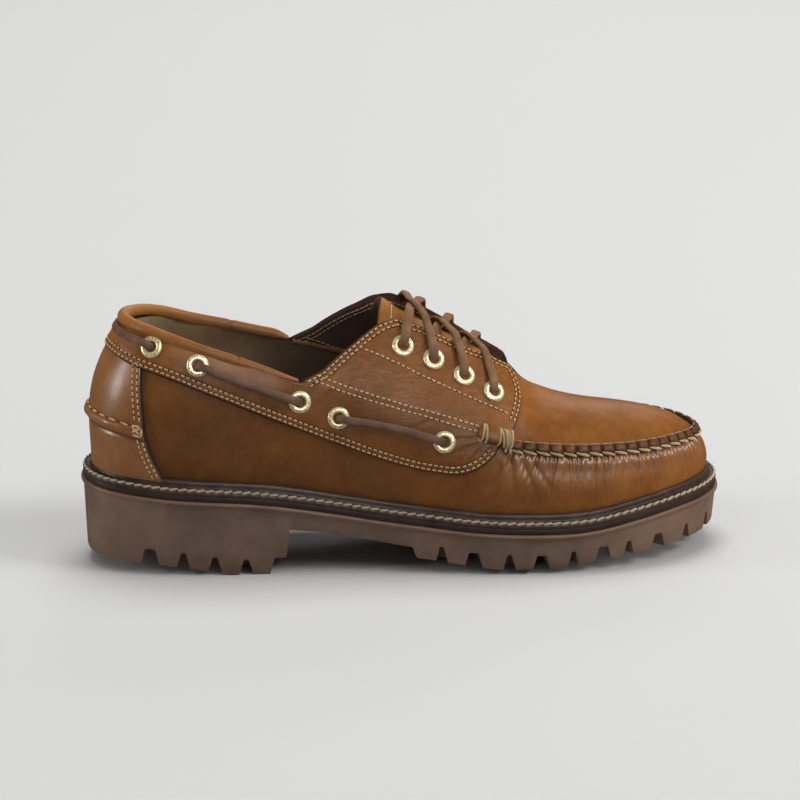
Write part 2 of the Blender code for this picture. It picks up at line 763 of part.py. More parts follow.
def sole_stations():
    """Stations of the rubber, with one at each step of the tread."""
    even = plain_stations(41)
    steps = column(TREAD, "x")
    near = np.min(np.abs(even[:, None] - steps[None, :]), axis=1)
    return np.sort(np.concatenate([even[near > 2.0], steps]))


def groove_cutter(centre, direction, groove, length, root_z):
    """Tapered bar, wide at the tread, along a direction in plan; centre is its outer end."""
    side = Vector((-direction.y, direction.x, 0))
    corners = []
    for along in (0.0, length):
        for half, z in ((groove.mouth / 2 + CUTTER_SPARE, -CUTTER_BELOW), (groove.root / 2, root_z)):
            for sign in (-1, 1):
                corners.append(centre + direction * along + side * sign * half + Vector((0, 0, z)))
    faces = [[0, 1, 3, 2], [4, 6, 7, 5], [0, 4, 5, 1], [2, 3, 7, 6], [0, 2, 6, 4], [1, 5, 7, 3]]
    return corners, faces


def cutter_object(name, bars):
    points, faces = [], []
    for corners, bar_faces in bars:
        faces += [[i + len(points) for i in face] for face in bar_faces]
        points += [tuple(c) for c in corners]
    cutter = bpy.data.objects.new(name, solid_mesh(name, points, faces))
    cutter.hide_render = True
    cutter.display_type = "WIRE"
    CUTTERS.objects.link(cutter)
    return cutter


def cut(part, cutter):
    modifier = part.modifiers.new(cutter.name, "BOOLEAN")
    modifier.operation = "DIFFERENCE"
    modifier.solver = "EXACT"
    modifier.object = cutter


def edge_bars():
    bars = []
    for groove in EDGE_GROOVES:
        for side in (-1, 1):
            turn = side * SOLE.turn_at(groove.x)
            x, y = SOLE.at(turn)
            nx, ny = SOLE.normal(turn)
            outward = Vector((float(nx), float(ny), 0))
            start = Vector((float(x), float(y), 0)) + outward * CUTTER_OUT
            root = float(straight(TREAD, "low", groove.x) + straight(TREAD, "camber", groove.x)) + LUG_DEPTH
            bars.append(groove_cutter(start, -outward, groove, groove.reach + CUTTER_OUT, root))
    return bars


def cross_bars():
    bars = []
    for groove in CROSS_GROOVES:
        start = Vector((groove.x, -HALF_LENGTH / 2, 0))
        root = float(straight(TREAD, "low", groove.x)) + LUG_DEPTH + 2.0
        bars.append(groove_cutter(start, Vector((0, 1, 0)), groove, HALF_LENGTH, root))
    return bars


def channel_bars():
    channel = Groove(0.0, CHANNEL_WIDTH, CHANNEL_WIDTH - 1.2, 0.0)
    bars = []
    for side in (-1, 1):
        start = Vector((CHANNEL_BACK, side * CHANNEL_OFFSET, 0))
        length = CHANNEL_FRONT - CHANNEL_BACK
        bars.append(groove_cutter(start, Vector((1, 0, 0)), channel, length, LUG_DEPTH + 1.0))
    return bars


def make_outsole():
    turns = closed_turns(sole_stations())
    x, y = SOLE.at(turns)
    rim = ((0.5, 0.0), (0.0, -0.4), (0.0, -RIM_HEIGHT), (RIM_STEP, -RIM_HEIGHT - 0.5))
    upper_rings = plate_rings(turns, rim)
    low_x, low_y = SOLE.inset(turns, SOLE_DRAFT)
    low = np.stack([low_x, low_y, tread_height(x, 0.0)], -1)
    rings = np.concatenate([low[None], upper_rings[::-1]])

    station = {round(float(px), 3): float(tx) for px, tx in zip(low_x, x)}

    def tread_on_station(point, share):
        point = np.array(point)
        nearest = min(station, key=lambda key: abs(key - point[0]))
        point[2] = tread_height(station[nearest], share)
        return point

    mesh = capped_plate("outsole", rings, tread_on_station, None)
    outsole = add_object("outsole", mesh, RUBBER, 0.6)
    cut(outsole, cutter_object("edge_grooves", edge_bars()))
    cut(outsole, cutter_object("cross_grooves", cross_bars()))
    cut(outsole, cutter_object("channels", channel_bars()))


def eyelet_mesh():
    """Ring with a rounded flange, its seat at z 0."""
    work = bmesh.new()
    profile = (
        (EYELET_HOLE, EYELET_THICK * 0.7),
        (EYELET_HOLE + 1.2, EYELET_THICK),
        (EYELET_RADIUS, 0.0),
        (EYELET_HOLE, 0.0),
    )
    verts = [work.verts.new((r * MM, 0, z * MM)) for r, z in profile]
    edges = [work.edges.new((a, b)) for a, b in zip(verts, verts[1:] + verts[:1])]
    ring = verts + edges
    bmesh.ops.spin(work, geom=ring, axis=(0, 0, 1), steps=EYELET_STEPS, angle=2 * math.pi, use_merge=True)
    bmesh.ops.remove_doubles(work, verts=work.verts, dist=1e-6)
    bmesh.ops.recalc_face_normals(work, faces=work.faces)
    mesh = bpy.data.meshes.new("eyelet")
    work.to_mesh(mesh)
    work.free()
    mesh.shade_smooth()
    mesh.set_sharp_from_angle(angle=math.radians(50))
    return mesh


def eyelet_spots():
    """Name, turn and level of each eyelet."""
    spots = []
    for side, side_name in ((-1, "lateral"), (1, "medial")):
        for spot in COLLAR_EYELETS:
            turn = side * float(TOP.turn_at(spot.x))
            level = float(level_at(-abs(turn), spot.z))
            spots.append((f"eyelet_{spot.name}_{side_name}", turn, level))
        for spot in THROAT_EYELETS:
            turn = side * float(TOP.turn_at(spot.x))
            spots.append((f"eyelet_{spot.name}_{side_name}", turn, 2 - spot.share))
    return spots


def make_eyelets():
    for name, turn, level in eyelet_spots():
        lift = PANEL_GAP + PANEL_THICK + SEAT_GAP + float(flare(TOP.at(turn)[0]))
        part = add_object(name, eyelet_mesh(), BRASS, 0.32, 1.0)
        normal = Vector(skin_normal(turn, level))
        part.location = Vector(skin(turn, level, lift)) * MM
        part.rotation_mode = "QUATERNION"
        part.rotation_quaternion = normal.to_track_quat("Z", "Y")


def tube_mesh(name, route, radius):
    """Mesh of a round strand along a route in millimetres."""
    curve = bpy.data.curves.new(name, "CURVE")
    curve.dimensions = "3D"
    curve.bevel_depth = radius * MM
    curve.bevel_resolution = 2
    curve.use_fill_caps = True
    spline = curve.splines.new("POLY")
    spline.points.add(len(route) - 1)
    for point, place in zip(spline.points, route):
        point.co = (*(float(c) * MM for c in place), 1.0)
    guide = bpy.data.objects.new(name + "_guide", curve)
    PARTS.objects.link(guide)
    bpy.context.view_layer.update()
    mesh = bpy.data.meshes.new_from_object(guide.evaluated_get(bpy.context.evaluated_depsgraph_get()))
    bpy.data.objects.remove(guide)
    bpy.data.curves.remove(curve)
    work = bmesh.new()
    work.from_mesh(mesh)
    bmesh.ops.remove_doubles(work, verts=work.verts, dist=1e-6)
    bmesh.ops.recalc_face_normals(work, faces=work.faces)
    work.to_mesh(mesh)
    work.free()
    mesh.shade_smooth()
    return mesh


LACE_LIFT = PANEL_GAP + PANEL_THICK + SEAT_GAP + LACE_RADIUS


def side_strand(first, second, side):
    """Route along the saddle between two collar eyelets, clear of both rings."""
    turns = [side * float(TOP.turn_at(s.x)) for s in (first, second)]
    levels = [float(level_at(-abs(t), s.z)) for t, s in zip(turns, (first, second))]
    clear = (EYELET_RADIUS + LACE_RADIUS) / abs(second.x - first.x)
    shares = np.linspace(clear, 1 - clear, 9)
    along = turns[0] + (turns[1] - turns[0]) * shares
    return skin(along, levels[0] + (levels[1] - levels[0]) * shares, LACE_LIFT)


def make_side_laces():
    for side, side_name in ((-1, "lateral"), (1, "medial")):
        for number, (a, b) in enumerate(((1, 2), (3, 4)), 1):
            route = side_strand(COLLAR_EYELETS[a], COLLAR_EYELETS[b], side)
            name = f"lace_side_{number}_{side_name}"
            add_object(name, tube_mesh(name, route, LACE_RADIUS), LACE_BROWN)
    first = COLLAR_EYELETS[0]
    turn = float(TOP.turn_at(first.x))
    level = float(level_at(-turn, first.z))
    clear = turn * (1 - LACE_TURN_CLEAR)
    turns = np.linspace(-clear, clear, 13)
    route = skin(turns, level + 0.01 * (1 - (turns / turn) ** 2), LACE_LIFT)
    add_object("lace_heel", tube_mesh("lace_heel", route, LACE_RADIUS), LACE_BROWN)


def crossing_route(low, high, side):
    """Strand from beside an eyelet on one side, over the tongue, to the far edge beside the next eyelet."""
    shares = np.array([0.25, 0.14, 0.0, -0.12, -0.2])
    route = []
    for share in shares:
        way = (shares[0] - share) / (shares[0] - shares[-1])
        station = low.x + (high.x - low.x) * way * CROSSING_REACH
        turn = side * float(TOP.turn_at(station))
        if share < 0:
            turn = -turn
        route.append(skin(turn, 2 - abs(share), LACE_RADIUS + SEAT_GAP))
    return route


def make_lace_crossings():
    pairs = ((3, 2), (2, 1), (1, 0))
    for number, (low, high) in enumerate(pairs, 1):
        name = f"lace_crossing_{number}"
        ends = THROAT_EYELETS[low], THROAT_EYELETS[high]
        strands = [tube_mesh(name, crossing_route(*ends, side), LACE_RADIUS) for side in (-1, 1)]
        part = add_object(name, strands[0], LACE_BROWN)
        other = bpy.data.objects.new(name + "_under", strands[1])
        other.hide_render = True
        other.display_type = "WIRE"
        CUTTERS.objects.link(other)
        joint = part.modifiers.new("join", "BOOLEAN")
        joint.operation = "UNION"
        joint.solver = "EXACT"
        joint.object = other


for old in list(bpy.data.objects):
    bpy.data.objects.remove(old)
PARTS = bpy.data.collections.new("camp_moccasin")
CUTTERS = bpy.data.collections.new("cutters")
bpy.context.scene.collection.children.link(PARTS)
bpy.context.scene.collection.children.link(CUTTERS)
make_outsole()
make_midsole()
make_welt()
make_insole()
make_upper()
make_tongue()
make_saddle()
make_heel_panels()
make_collar_roll()
make_moc_seam()
make_eyelets()
make_side_laces()
make_lace_crossings()
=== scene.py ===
"""Looks of the camp moccasin: leather, seams, stitches, laces, sole, floor, light and camera."""

import math
from collections import namedtuple

import bmesh
import bpy
import numpy as np
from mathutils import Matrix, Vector
from mathutils.kdtree import KDTree


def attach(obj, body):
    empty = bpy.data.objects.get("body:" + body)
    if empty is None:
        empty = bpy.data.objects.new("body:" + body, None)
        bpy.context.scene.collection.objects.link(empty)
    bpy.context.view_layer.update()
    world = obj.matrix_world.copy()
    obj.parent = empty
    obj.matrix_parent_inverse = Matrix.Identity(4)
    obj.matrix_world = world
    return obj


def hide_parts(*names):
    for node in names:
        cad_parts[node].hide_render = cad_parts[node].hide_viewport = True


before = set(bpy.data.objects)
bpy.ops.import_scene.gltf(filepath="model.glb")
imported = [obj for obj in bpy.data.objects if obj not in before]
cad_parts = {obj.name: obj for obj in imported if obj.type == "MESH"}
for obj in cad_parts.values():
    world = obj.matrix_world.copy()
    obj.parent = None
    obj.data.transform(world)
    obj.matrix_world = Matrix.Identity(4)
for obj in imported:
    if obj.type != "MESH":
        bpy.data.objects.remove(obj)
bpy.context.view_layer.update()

MM = 0.001


def table(columns, *rows):
    """Rows of values with named columns."""
    row = namedtuple("Row", columns)
    return tuple(row(*values) for values in rows)


# Driving sizes; every length is in millimetres, and stations run along x towards the toe
HALF_LENGTH = 150.0
SEAT_GAP = 0.3
PANEL_GAP = 0.45
RIM_HEIGHT = 1.8
RIM_STEP = 1.0
SOLE_DRAFT = 2.2
MIDSOLE_THICK = 2.0
FOOT_GAP = 0.5
WELT_THICK = 3.0
WELT_LIP = 2.6
FEATHER_INSET = 6.3
UPPER_WALL = 2.0
PANEL_THICK = 1.4
INSOLE_THICK = 3.0
TONGUE_THICK = 2.2
LUG_DEPTH = 7.2
HEEL_RIDGE_RISE = 2.2
MIDSOLE_INSET = 0.7
WELT_INSET = 0.9
TONGUE_GAP = 0.8
CUTTER_BELOW = 2.0
CUTTER_OUT = 6.0
CUTTER_SPARE = 0.6

# Plan of the outsole: centre line and half width at each station
SOLE_PLAN = table(
    "x centre half",
    (-150, 0.0, 0.0), (-120, -0.5, 33.0), (-90, -0.8, 37.3), (-55, -1.8, 36.8), (-25, -3.2, 37.0),
    (0, -3.4, 40.6), (30, -2.0, 48.0), (60, -0.2, 52.3), (85, 1.0, 51.4), (110, 2.2, 45.0),
    (130, 3.0, 34.6), (150, 3.5, 0.0),
)
SOLE_HEEL_RADIUS = 36.0
SOLE_TOE_RADIUS = 37.0

# Side view of the sole: top of the rubber, and the tread down its middle
SOLE_SIDE = table(
    "x seat",
    (-150, 40.0), (-115, 36.8), (-68, 33.5), (-36, 28.6), (-14, 25.1), (6, 22.7), (30, 20.4),
    (55, 19.4), (80, 19.6), (105, 22.8), (125, 25.4), (150, 27.2),
)
TREAD = table(
    "x low camber",
    (-150, 6.4, 0.0), (-135, 5.8, 0.0), (-116, 4.8, 0.0), (-100, 3.0, 0.0), (-82, 0.0, 0.0),
    (-65, 0.0, 0.0), (-63, 7.4, 0.0), (-57.5, 7.8, 0.0), (-56, 21.0, 0.0), (-40, 19.6, 0.0),
    (-24, 16.6, 0.0), (0, 12.4, 0.0), (2, 5.4, 2.0), (16, 3.4, 2.2), (38, 0.0, 2.6), (68, 0.0, 2.6),
    (84, 2.2, 2.4), (100, 4.2, 1.6), (122, 6.6, 0.8), (135, 8.4, 0.4), (150, 11.0, 0.0),
)

# Grooves between the lugs: place, mouth and root widths
EDGE_GROOVES = table(
    "x mouth root",
    (-120.5, 8.4, 4.8), (-105.0, 5.6, 2.3), (-90.5, 6.0, 2.3), (-76.0, 6.0, 2.4), (13.0, 5.0, 1.8),
    (44.0, 5.4, 1.8), (74.0, 4.6, 1.8), (101.0, 5.2, 1.8), (116.0, 7.6, 4.0), (131.0, 4.6, 1.8),
    (143.0, 4.2, 1.8),
)
CROSS_GROOVES = table(
    "x mouth root",
    (28.0, 8.8, 4.6), (59.0, 8.8, 4.4), (88.0, 8.4, 4.2),
)
EDGE_REACH = 15.0
CROSS_DEEPER = 2.0
CHANNEL_DEEPER = 1.0
CHANNEL_OFFSET = 17.0
CHANNEL_BACK = 8.0
CHANNEL_FRONT = 112.0
CHANNEL = table("mouth root", (4.0, 2.8))[0]

# Topline of the walls: the collar behind, the eyestay's foot, then the seam round the plug
TOP_LINE = table(
    "x centre half lateral_z medial_z bulge",
    (-129, 0.0, 0.0, 111.5, 111.5, 7.2), (-117, 0.0, 20.5, 110.6, 110.6, 6.6),
    (-96, 0.0, 28.2, 104.6, 105.0, 5.2), (-66, -0.6, 30.0, 95.0, 98.2, 3.6),
    (-50, -0.9, 30.0, 90.2, 94.6, 3.0), (0, -1.6, 34.0, 78.0, 80.0, 3.0),
    (30, -1.2, 39.5, 66.0, 67.0, 3.2), (45, -0.6, 41.4, 59.6, 59.0, 3.4),
    (60, -0.2, 41.8, 57.2, 55.6, 3.5), (90, 0.6, 38.0, 54.6, 54.0, 3.4),
    (114.5, 1.8, 29.0, 53.4, 54.0, 3.1), (129, 2.6, 18.4, 52.8, 53.6, 3.2),
    (138.8, 3.2, 0.0, 52.2, 52.2, 3.4),
)
TOP_HEEL_RADIUS = 20.0
TOP_TOE_RADIUS = 21.0

# Crown line of the instep and plug
CROWN = table(
    "x z",
    (-60, 130.0), (-50, 128.7), (-25, 126.0), (-10, 123.5), (0, 119.8), (16, 111.0), (30, 103.0),
    (43, 94.5), (50, 87.2), (57, 79.4), (67, 74.0), (78, 70.4), (89, 68.0), (100, 66.6), (118, 64.0),
    (130, 60.6), (138.8, 55.6),
)
BULGE_SKEW = 1.25
FAN_START = 60.0
FAN_CENTRE = 104.0

# Throat opening, as a share of the half width left open at each station
THROAT = table(
    "x lateral medial",
    (-50, 1.0, 1.0), (-40, 0.91, 0.88), (-25, 0.70, 0.63), (-14, 0.53, 0.46), (-5, 0.42, 0.37),
    (16, 0.38, 0.36), (30, 0.36, 0.36), (42, 0.32, 0.32), (49, 0.22, 0.22), (54, 0.0, 0.0),
)
COLLAR_FRONT = THROAT[0].x

# Tongue: share of its full width at each station
TONGUE = table(
    "x width",
    (-12, 0.58), (-9, 0.70), (-4, 1.0), (63, 1.0),
)

# Saddle panel: height of its lower edge, and its front edge at each share of the way up
SADDLE_FOOT = table(
    "x z",
    (-129, 100.5), (-120, 97.4), (-112, 95.0), (-87, 85.2), (-60, 73.6), (-30, 61.2), (-11, 54.0),
    (5, 49.2), (14, 47.7), (21, 47.1), (27, 48.3), (33, 51.4), (39, 56.6), (44, 59.6),
)
SEAM_SHARE = 0.4
FRONT_FLARE = 0.8
FLARE_START = 22.0
FLARE_RUN = 20.0
SADDLE_FRONT = table(
    "up front",
    (0.0, 38.5), (0.2, 40.2), (0.4, 43.5), (0.52, 48.0), (0.66, 51.0), (0.78, 51.7), (0.9, 50.2),
    (1.0, 47.5),
)

# Heel panels: how far round they reach at each level of the wall, and the ridge between them
HEEL_REACH = table(
    "level turn",
    (0.0, 0.725), (0.1, 0.685), (0.24, 0.613), (0.38, 0.559), (0.5, 0.530), (0.7, 0.478), (0.9, 0.425),
)
HEEL_RIDGE = table("turn level", (0.0, 0.460), (0.3, 0.448), (0.49, 0.428), (0.6, 0.405))

# Eyelets on the lateral side, which the medial side repeats
COLLAR_EYELETS = table(
    "name x z",
    ("collar_1", -114.6, 105.8), ("collar_2", -94.8, 98.6), ("collar_3", -48.7, 81.0),
    ("collar_4", -30.8, 73.4), ("collar_5", 15.8, 62.3),
)
THROAT_EYELETS = table(
    "name x share",
    ("throat_1", -2.6, 0.65), ("throat_2", 11.3, 0.65), ("throat_3", 25.0, 0.665),
    ("throat_4", 38.2, 0.685),
)

# Radius of the collar roll, and the stations where the seam and its bound ends stop
ROLL_SIZE = table("x radius", (-129, 3.1), (-118, 2.4), (-100, 1.9), (-50, 1.5))
SEAM_BACK = 29.0
KNOT_FRONT = 47.0

# Toe wall and plug: gathers, bulge, and painted light on the pleats below the seam: a painted highlight on
# their ridges and painted shade in their valleys
WALL_SPLIT = 40.0
WALL_COLUMN = 0.32
GATHER_BACK = 44.0
GATHER_PITCH = 2.3
GATHER_DEPTH = 1.05
GATHER_SLANT = 0.5
GATHER_FAN = 28.0
GATHER_REACH = (5.0, 17.0)
GATHER_FRONT = (42.0, 54.0)
WALL_BULGE = 1.2
BULGE_DROP = 4.2
BULGE_RUN = 3.2
TOE_EASE = (128.0, 140.0)
PLEAT_HIGHLIGHT_RUN = 11.0
PLEAT_HIGHLIGHT_TONE = 0.42
PLEAT_SHADE_TONE = 1.1
FOOT_SHADE = 0.55
FOOT_LEVEL = 0.3
WAX_RUN = 9.0
QUARTER_SHADE = (35.0, -25.0)
QUARTER_DARK = 0.4
PLUG_SPLIT = 30.0
PLUG_COLUMNS = (1.6, 0.75)
PLUG_FRONT = (44.0, 52.0)
PLUG_ROLL = 0.9
PLUG_ROLL_RUN = 2.6
PLUG_PLEAT = 0.16
PLUG_PLEAT_RUN = 4.0
PLUG_TONE = 0.08
CREASE_SHADE = 0.9
CREASE_SHADE_RUN = 1.6
PLUG_SHADE = 0.5
PLUG_SHADE_RUN = 9.0

# Lining and its tape
LINING_FRONT = 14.0
LINING_DEPTH = 0.1
LINING_STITCH_DEPTH = 0.12
FLAP_COLUMNS = (1.6, 1.6)
LINING_SHADE = (-95.0, -48.0)
TAPE_BACK = 1.0
TAPE_FRONT = 12.0
TAPE_DEPTH = 0.5
TAPE_HALF = (1.1, 0.35)

# Seam: beads, bound ends with their wraps, and thread
SEAM_PITCH = 6.2
BEAD_SIZE = (2.8, 2.3, 1.75)
BEAD_SPREAD = 0.16
BEAD_BACK = 2.5
BEAD_OUT = 1.3
BEAD_IN = 0.6
CORE_HALF = (2.2, 1.4)
CORE_PLACE = 0.5
CORE_BACK = 4.0
LOW_THREAD_OUT = 1.5
LOW_THREAD_DOWN = 2.0
LOW_THREAD_RADIUS = 0.78
HIGH_THREAD_OUT = 1.95
HIGH_THREAD_UP = 2.85
HIGH_THREAD_RADIUS = 0.24
KNOT_ENDS = (SEAM_BACK + 1.0, KNOT_FRONT - 0.5)
KNOT_RISE = 0.2
KNOT_TILT = 2.2
KNOT_HALF = 3.8
KNOT_THICK = 2.9
KNOT_PINCH = 0.05
KNOT_WRAPS = (0.12, 0.2, 0.56, 0.64, 0.72, 0.8, 0.88)
KNOT_STEPS = 40
WRAP_STEPS = 19
WRAP_ANGLE = 0.6
WRAP_SLANT = 0.9
WRAP_LOOSE = (-0.1, 0.35)
WRAP_STITCH = 1.9
WRAP_RADIUS = (0.5, 0.75)
STUB_STEPS = (-1.1, 0.7)
STUB_DOWN = 1.2
STUB_SUNK = 0.8
STUB_SIZE = (3.2, 0.6)

# Stitch rows: pitch, thread and distances from the edges
STITCH_PITCH = 2.6
STITCH_RADIUS = 0.34
LINING_STITCH = (2.2, 0.28)
RIDGE_STITCH = (4.8, 0.5)
STITCH_LIFT = 0.12
TACK_LIFT = 0.5
TACK_RADIUS = 0.5
HOLE_SIZE = (0.75, 0.4)
HOLE_DEPTH = 0.12
ROW_DISTANCE = (1.8, 3.9)
ROW_GAP = 2.4
COUNTER_ROWS = (1.8, 4.0)

# Panels, collar roll and heel ridge
PANEL_FACE = PANEL_GAP + PANEL_THICK
PANEL_FOOT = 0.05
PANEL_ROUND = 1.2
PANEL_EDGE = 1.05
EDGE_SLACK = 0.07
PUCKER_RUN = 7.5
PUCKER_DEPTH = 0.35
PUCKER_SHADE = 0.2
STITCH_GROOVE = 0.75
GROOVE_DEPTH = 0.26
GROOVE_SHADE = 0.25
THROAT_ROW_BACK = 2.0
THROAT_EDGE_BACK = 3.0
COUNTER_WAX = 0.4
FOXING_WAX = 0.6
# Stations where the band near the heel is painted paler, as painted light
BAND_LIGHT_RUN = (60.0, 95.0)
CRUMPLE_BACK = (-45.0, -30.0)
BAND_SWELL = 1.3
BAND_LEAN = 0.5
BAND_BACK = (-116.0, -104.0)
BAND_FRONT = (-64.0, -52.0)
FLAP_RISE = 3.0
FLAP_BACK = (-38.0, -14.0)
FLAP_FRONT = (6.0, 42.0)
FLAP_LEVELS = (1.4, 1.66)
ROLL_SEAM = -78.0
ROLL_SEAM_HALF = 0.7
ROLL_TAPER = (30.0, 9.0)
ROLL_FULL = (88.0, 120.0)
ROLL_PAINTED_LIGHT = (0.3, 0.75)
ROLL_SWELL = 0.75
ROLL_SHORT = 1.0
ROLL_OUT = 0.05
ROLL_IN = 0.3
RIDGE_DROP = 2.4
RIDGE_HALF = 2.6
RIDGE_FADE = (0.40, 0.52)
RIDGE_GROOVE = 4.0
RIDGE_GROOVE_HALF = 0.9
RIDGE_GROOVE_DEPTH = 0.6
RIDGE_SHADE = 3.8
RIDGE_SHADE_HALF = 1.2
TACKS = table(
    "turn level end_turn end_level",
    (0.478, 0.435, 0.532, 0.385),
    (0.480, 0.390, 0.528, 0.432),
    (0.478, 0.440, 0.524, 0.438),
    (0.534, 0.430, 0.540, 0.378),
    (0.490, 0.378, 0.540, 0.372),
)

# Welt and sole
WELT_COLUMN = 0.62
SOLE_COLUMN = 1.0
WELT_PITCH = 4.2
WELT_ROW = 0.75
WELT_ROW_RISE = 2.35
WELT_THREAD_RADIUS = 0.64
LIP_CLEAR = 0.12
LIP_LIFT = 0.05
EDGE_ROUND = 0.55
FOOTBED_GAP = 0.4
FOOTBED_DISH = 2.0
TREAD_SHARES = (0.12, 0.25, 0.38, 0.5, 0.62, 0.75, 0.88)
BEVEL_ANGLE = 38
SHARP_ANGLE = 32

# Tongue, laces and eyelets
TONGUE_HALF = 0.74
TONGUE_SLANT = 5.0
TONGUE_ROUNDED = (6.0, -12.0)
TONGUE_TRIM = 3.0
TONGUE_ROW = 5.5
TONGUE_STITCH = 2.2
TONGUE_DIP = (-11.0, 3.0)
TONGUE_TIP = (38.0, 47.0)
TONGUE_REAR = 0.5
TONGUE_SUNK = -2.6
LACE_HALF = (2.1, 0.95)
SIDE_LACE_HALF = (1.8, 1.15)
SIDE_LACE_BOW = 0.5
HEEL_LACE_BOW = -0.4
HEEL_LACE_CLIMB = 0.03
CROSS_OVERLAP = 1.1
EYELET_SIDES = 96
EYELET_ROWS = 26
EYELET_SUNK = 0.3
MARK_WAVES = (13, 21)
MARK_RADIUS = 4.0

# Unevenness of shapes and tones: depth, wavelength and seed
WALL_WAVE = (0.25, 30.0, 5)
WALL_MOTTLE = (0.12, 45.0, 8)
PLUG_WAVE = (0.3, 34.0, 15)
PLUG_MOTTLE = (0.2, 40.0, 18)
LINING_WAVE = (0.35, 24.0, 21)
TAPE_WAVE = (0.01, 7.0, 23)
SADDLE_WAVE = (0.28, 26.0, 31)
SADDLE_MOTTLE = (0.12, 32.0, 33)
COUNTER_WAVE = (0.15, 30.0, 41)
COUNTER_MOTTLE = (0.15, 30.0, 42)
CRIMP_WAVE = (1.2, 14.0, 44)
FOXING_WAVE = (0.15, 26.0, 45)
FOXING_MOTTLE = (0.1, 24.0, 46)
ROLL_WAVE = (0.12, 16.0, 51)
BEAD_MOTTLE = (0.25, 12.0, 61)
TONGUE_WAVE = (0.3, 18.0, 71)
WELT_WAVE = (0.12, 9.0, 81)
FOOTBED_WAVE = (0.3, 30.0, 91)
THREAD_MOTTLE = (1.0, 9.0, 3)
STRIP_WAVE = (0.05, 14.0)

# Steps of the upper's meshes along and across, and the levels where their spacing changes
WALL_BACK_COLUMNS = 340
WALL_LEVELS = (-0.02, 0.55, 1.0)
WALL_ROWS = (20, 40)
PLUG_LEVELS = (0.0, 0.15, 1.0)
PLUG_ROWS = (16, 46)
LINING_COLUMNS = (260, 150)
LINING_ROWS = 44
LINING_FOOT = -0.05
FLAP_ROWS = 36
TAPE_COLUMNS = 90
TAPE_SIDES = 10
SADDLE_COLUMNS = (210, 34)
SADDLE_END = 0.06
SADDLE_ROWS = 96
COUNTER_GRID = (60, 150)
FOXING_GRID = (90, 170)
ROLL_COLUMNS = 420
ROLL_ROWS = 40

# Shares and tones of the upper's relief, with painted light and painted shade among the tones
GATHER_FADE = 3.0
TOE_FLAT = 0.6
FOOT_POWER = 1.5
# Painted shade inside the shoe: how dark the lining is painted towards the toe and towards the footbed
LINING_TOE_SHADE = 0.9
LINING_FOOT_SHADE = 0.5
LINING_FOOT_SHADE_RUN = (0.2, 0.8)
CREASE_LIGHT_AND_SHADE = 0.4
CREASE_CLIP = (-0.3, 0.5)
FLAP_PAINTED_LIGHT = 0.55
FLAP_LIGHT_LEVEL = 1.15
SADDLE_DIM = 0.1
BAND_PAINTED_LIGHT = 0.22
BAND_TOP_PAINTED_LIGHT = 0.9
BAND_LEVELS = (0.88, 0.98)
CRUMPLE_WALL = 0.35
CRUMPLE_LEVELS = (0.97, 1.03)
COUNTER_PAINTED_LIGHT = 0.3
FOXING_PAINTED_LIGHT = 0.35
RIDGE_LOSS = 0.75
CRIMP_RADIUS = 40.0
CRIMP_DEPTH = 0.08
RIDGE_PAINTED_SHADOW = 1.1
RIDGE_TOP_DARK = 0.3
RIDGE_TOP_RUN = 1.0
ROLL_OPEN = (0.25, 0.65)
ROLL_TIP = 0.12
ROLL_SINK = 0.3
ROLL_LIFT = 0.2
ROLL_SEAM_DEPTH = 0.12
ROLL_SEAM_DARK = 0.7
ROLL_HEEL_TONE = 0.25

# Stitch lines of the eyestay by station and level
DOUBLE_LINE = table(
    "x level",
    (-43.4, 1.036), (-29.7, 1.007), (-16.2, 0.982), (-1.3, 0.973), (13.2, 0.997), (30.5, 1.021),
)
SINGLE_LINE = table(
    "x level",
    (-20.4, 1.261), (-7.9, 1.222), (4.4, 1.197), (18.0, 1.192), (31.6, 1.192), (44.2, 1.197),
)

# Folds of the wall under the seam's bound ends, and creases of the eyestay: where, which way, how big
KNOT_FOLDS = table(
    "x z angle reach width depth",
    (40.0, 52.0, -1.9, 14.0, 1.6, 0.7),
    (45.0, 54.0, -1.5, 16.0, 1.5, 0.7),
    (50.0, 54.0, -1.2, 18.0, 1.6, 0.6),
    (55.0, 53.0, -1.0, 14.0, 1.4, 0.5),
)
SADDLE_CREASES = table(
    "x z angle reach width depth",
    (-46.0, 86.0, 1.0, 9.0, 1.2, 0.35),
    (-38.0, 84.0, 0.8, 8.0, 1.1, 0.3),
    (8.0, 72.0, 0.4, 9.0, 1.0, 0.25),
    (25.0, 60.0, 0.35, 6.5, 0.8, 0.45),
    (23.0, 64.0, 0.05, 7.5, 0.8, 0.35),
    (28.0, 56.5, 0.85, 5.5, 0.8, 0.4),
)

# Eyelet section by radius and height, and lace runs by the share of the way and lift off the skin
EYELET_PROFILE = table(
    "radius height",
    (2.45, -3.2), (2.45, -0.2), (2.55, 0.6), (2.95, 1.0), (3.6, 1.08), (4.4, 0.95), (4.9, 0.6),
    (5.12, 0.05),
)
LACE_RUN = table(
    "share lift",
    (-0.005, -1.5), (0.0, 1.6), (0.05, 4.2), (0.12, 4.6), (0.22, 3.6), (0.36, 3.2), (0.5, 3.2),
    (0.64, 3.2), (0.78, 3.6), (0.88, 4.6), (0.95, 4.2), (1.0, 1.6), (1.005, -1.5),
)
CROSS_LATERAL = table(
    "way lift",
    (0.0, -1.5), (0.005, 2.0), (0.045, 4.2), (0.12, 3.8), (0.19, 3.4), (0.24, 3.2), (0.29, 2.3),
    (0.36, 0.5), (0.45, -1.0), (0.55, -1.7), (0.66, -2.1), (0.76, -2.6), (0.84, -3.2),
)
CROSS_MEDIAL = table(
    "way lift",
    (0.0, -1.5), (0.005, 2.0), (0.045, 4.2), (0.12, 3.8), (0.2, 3.2), (0.24, 3.6), (0.262, 3.1),
    (0.3, 1.2), (0.38, -0.9), (0.5, -1.7), (0.6, -2.4), (0.7, -2.8), (0.8, -3.2),
)
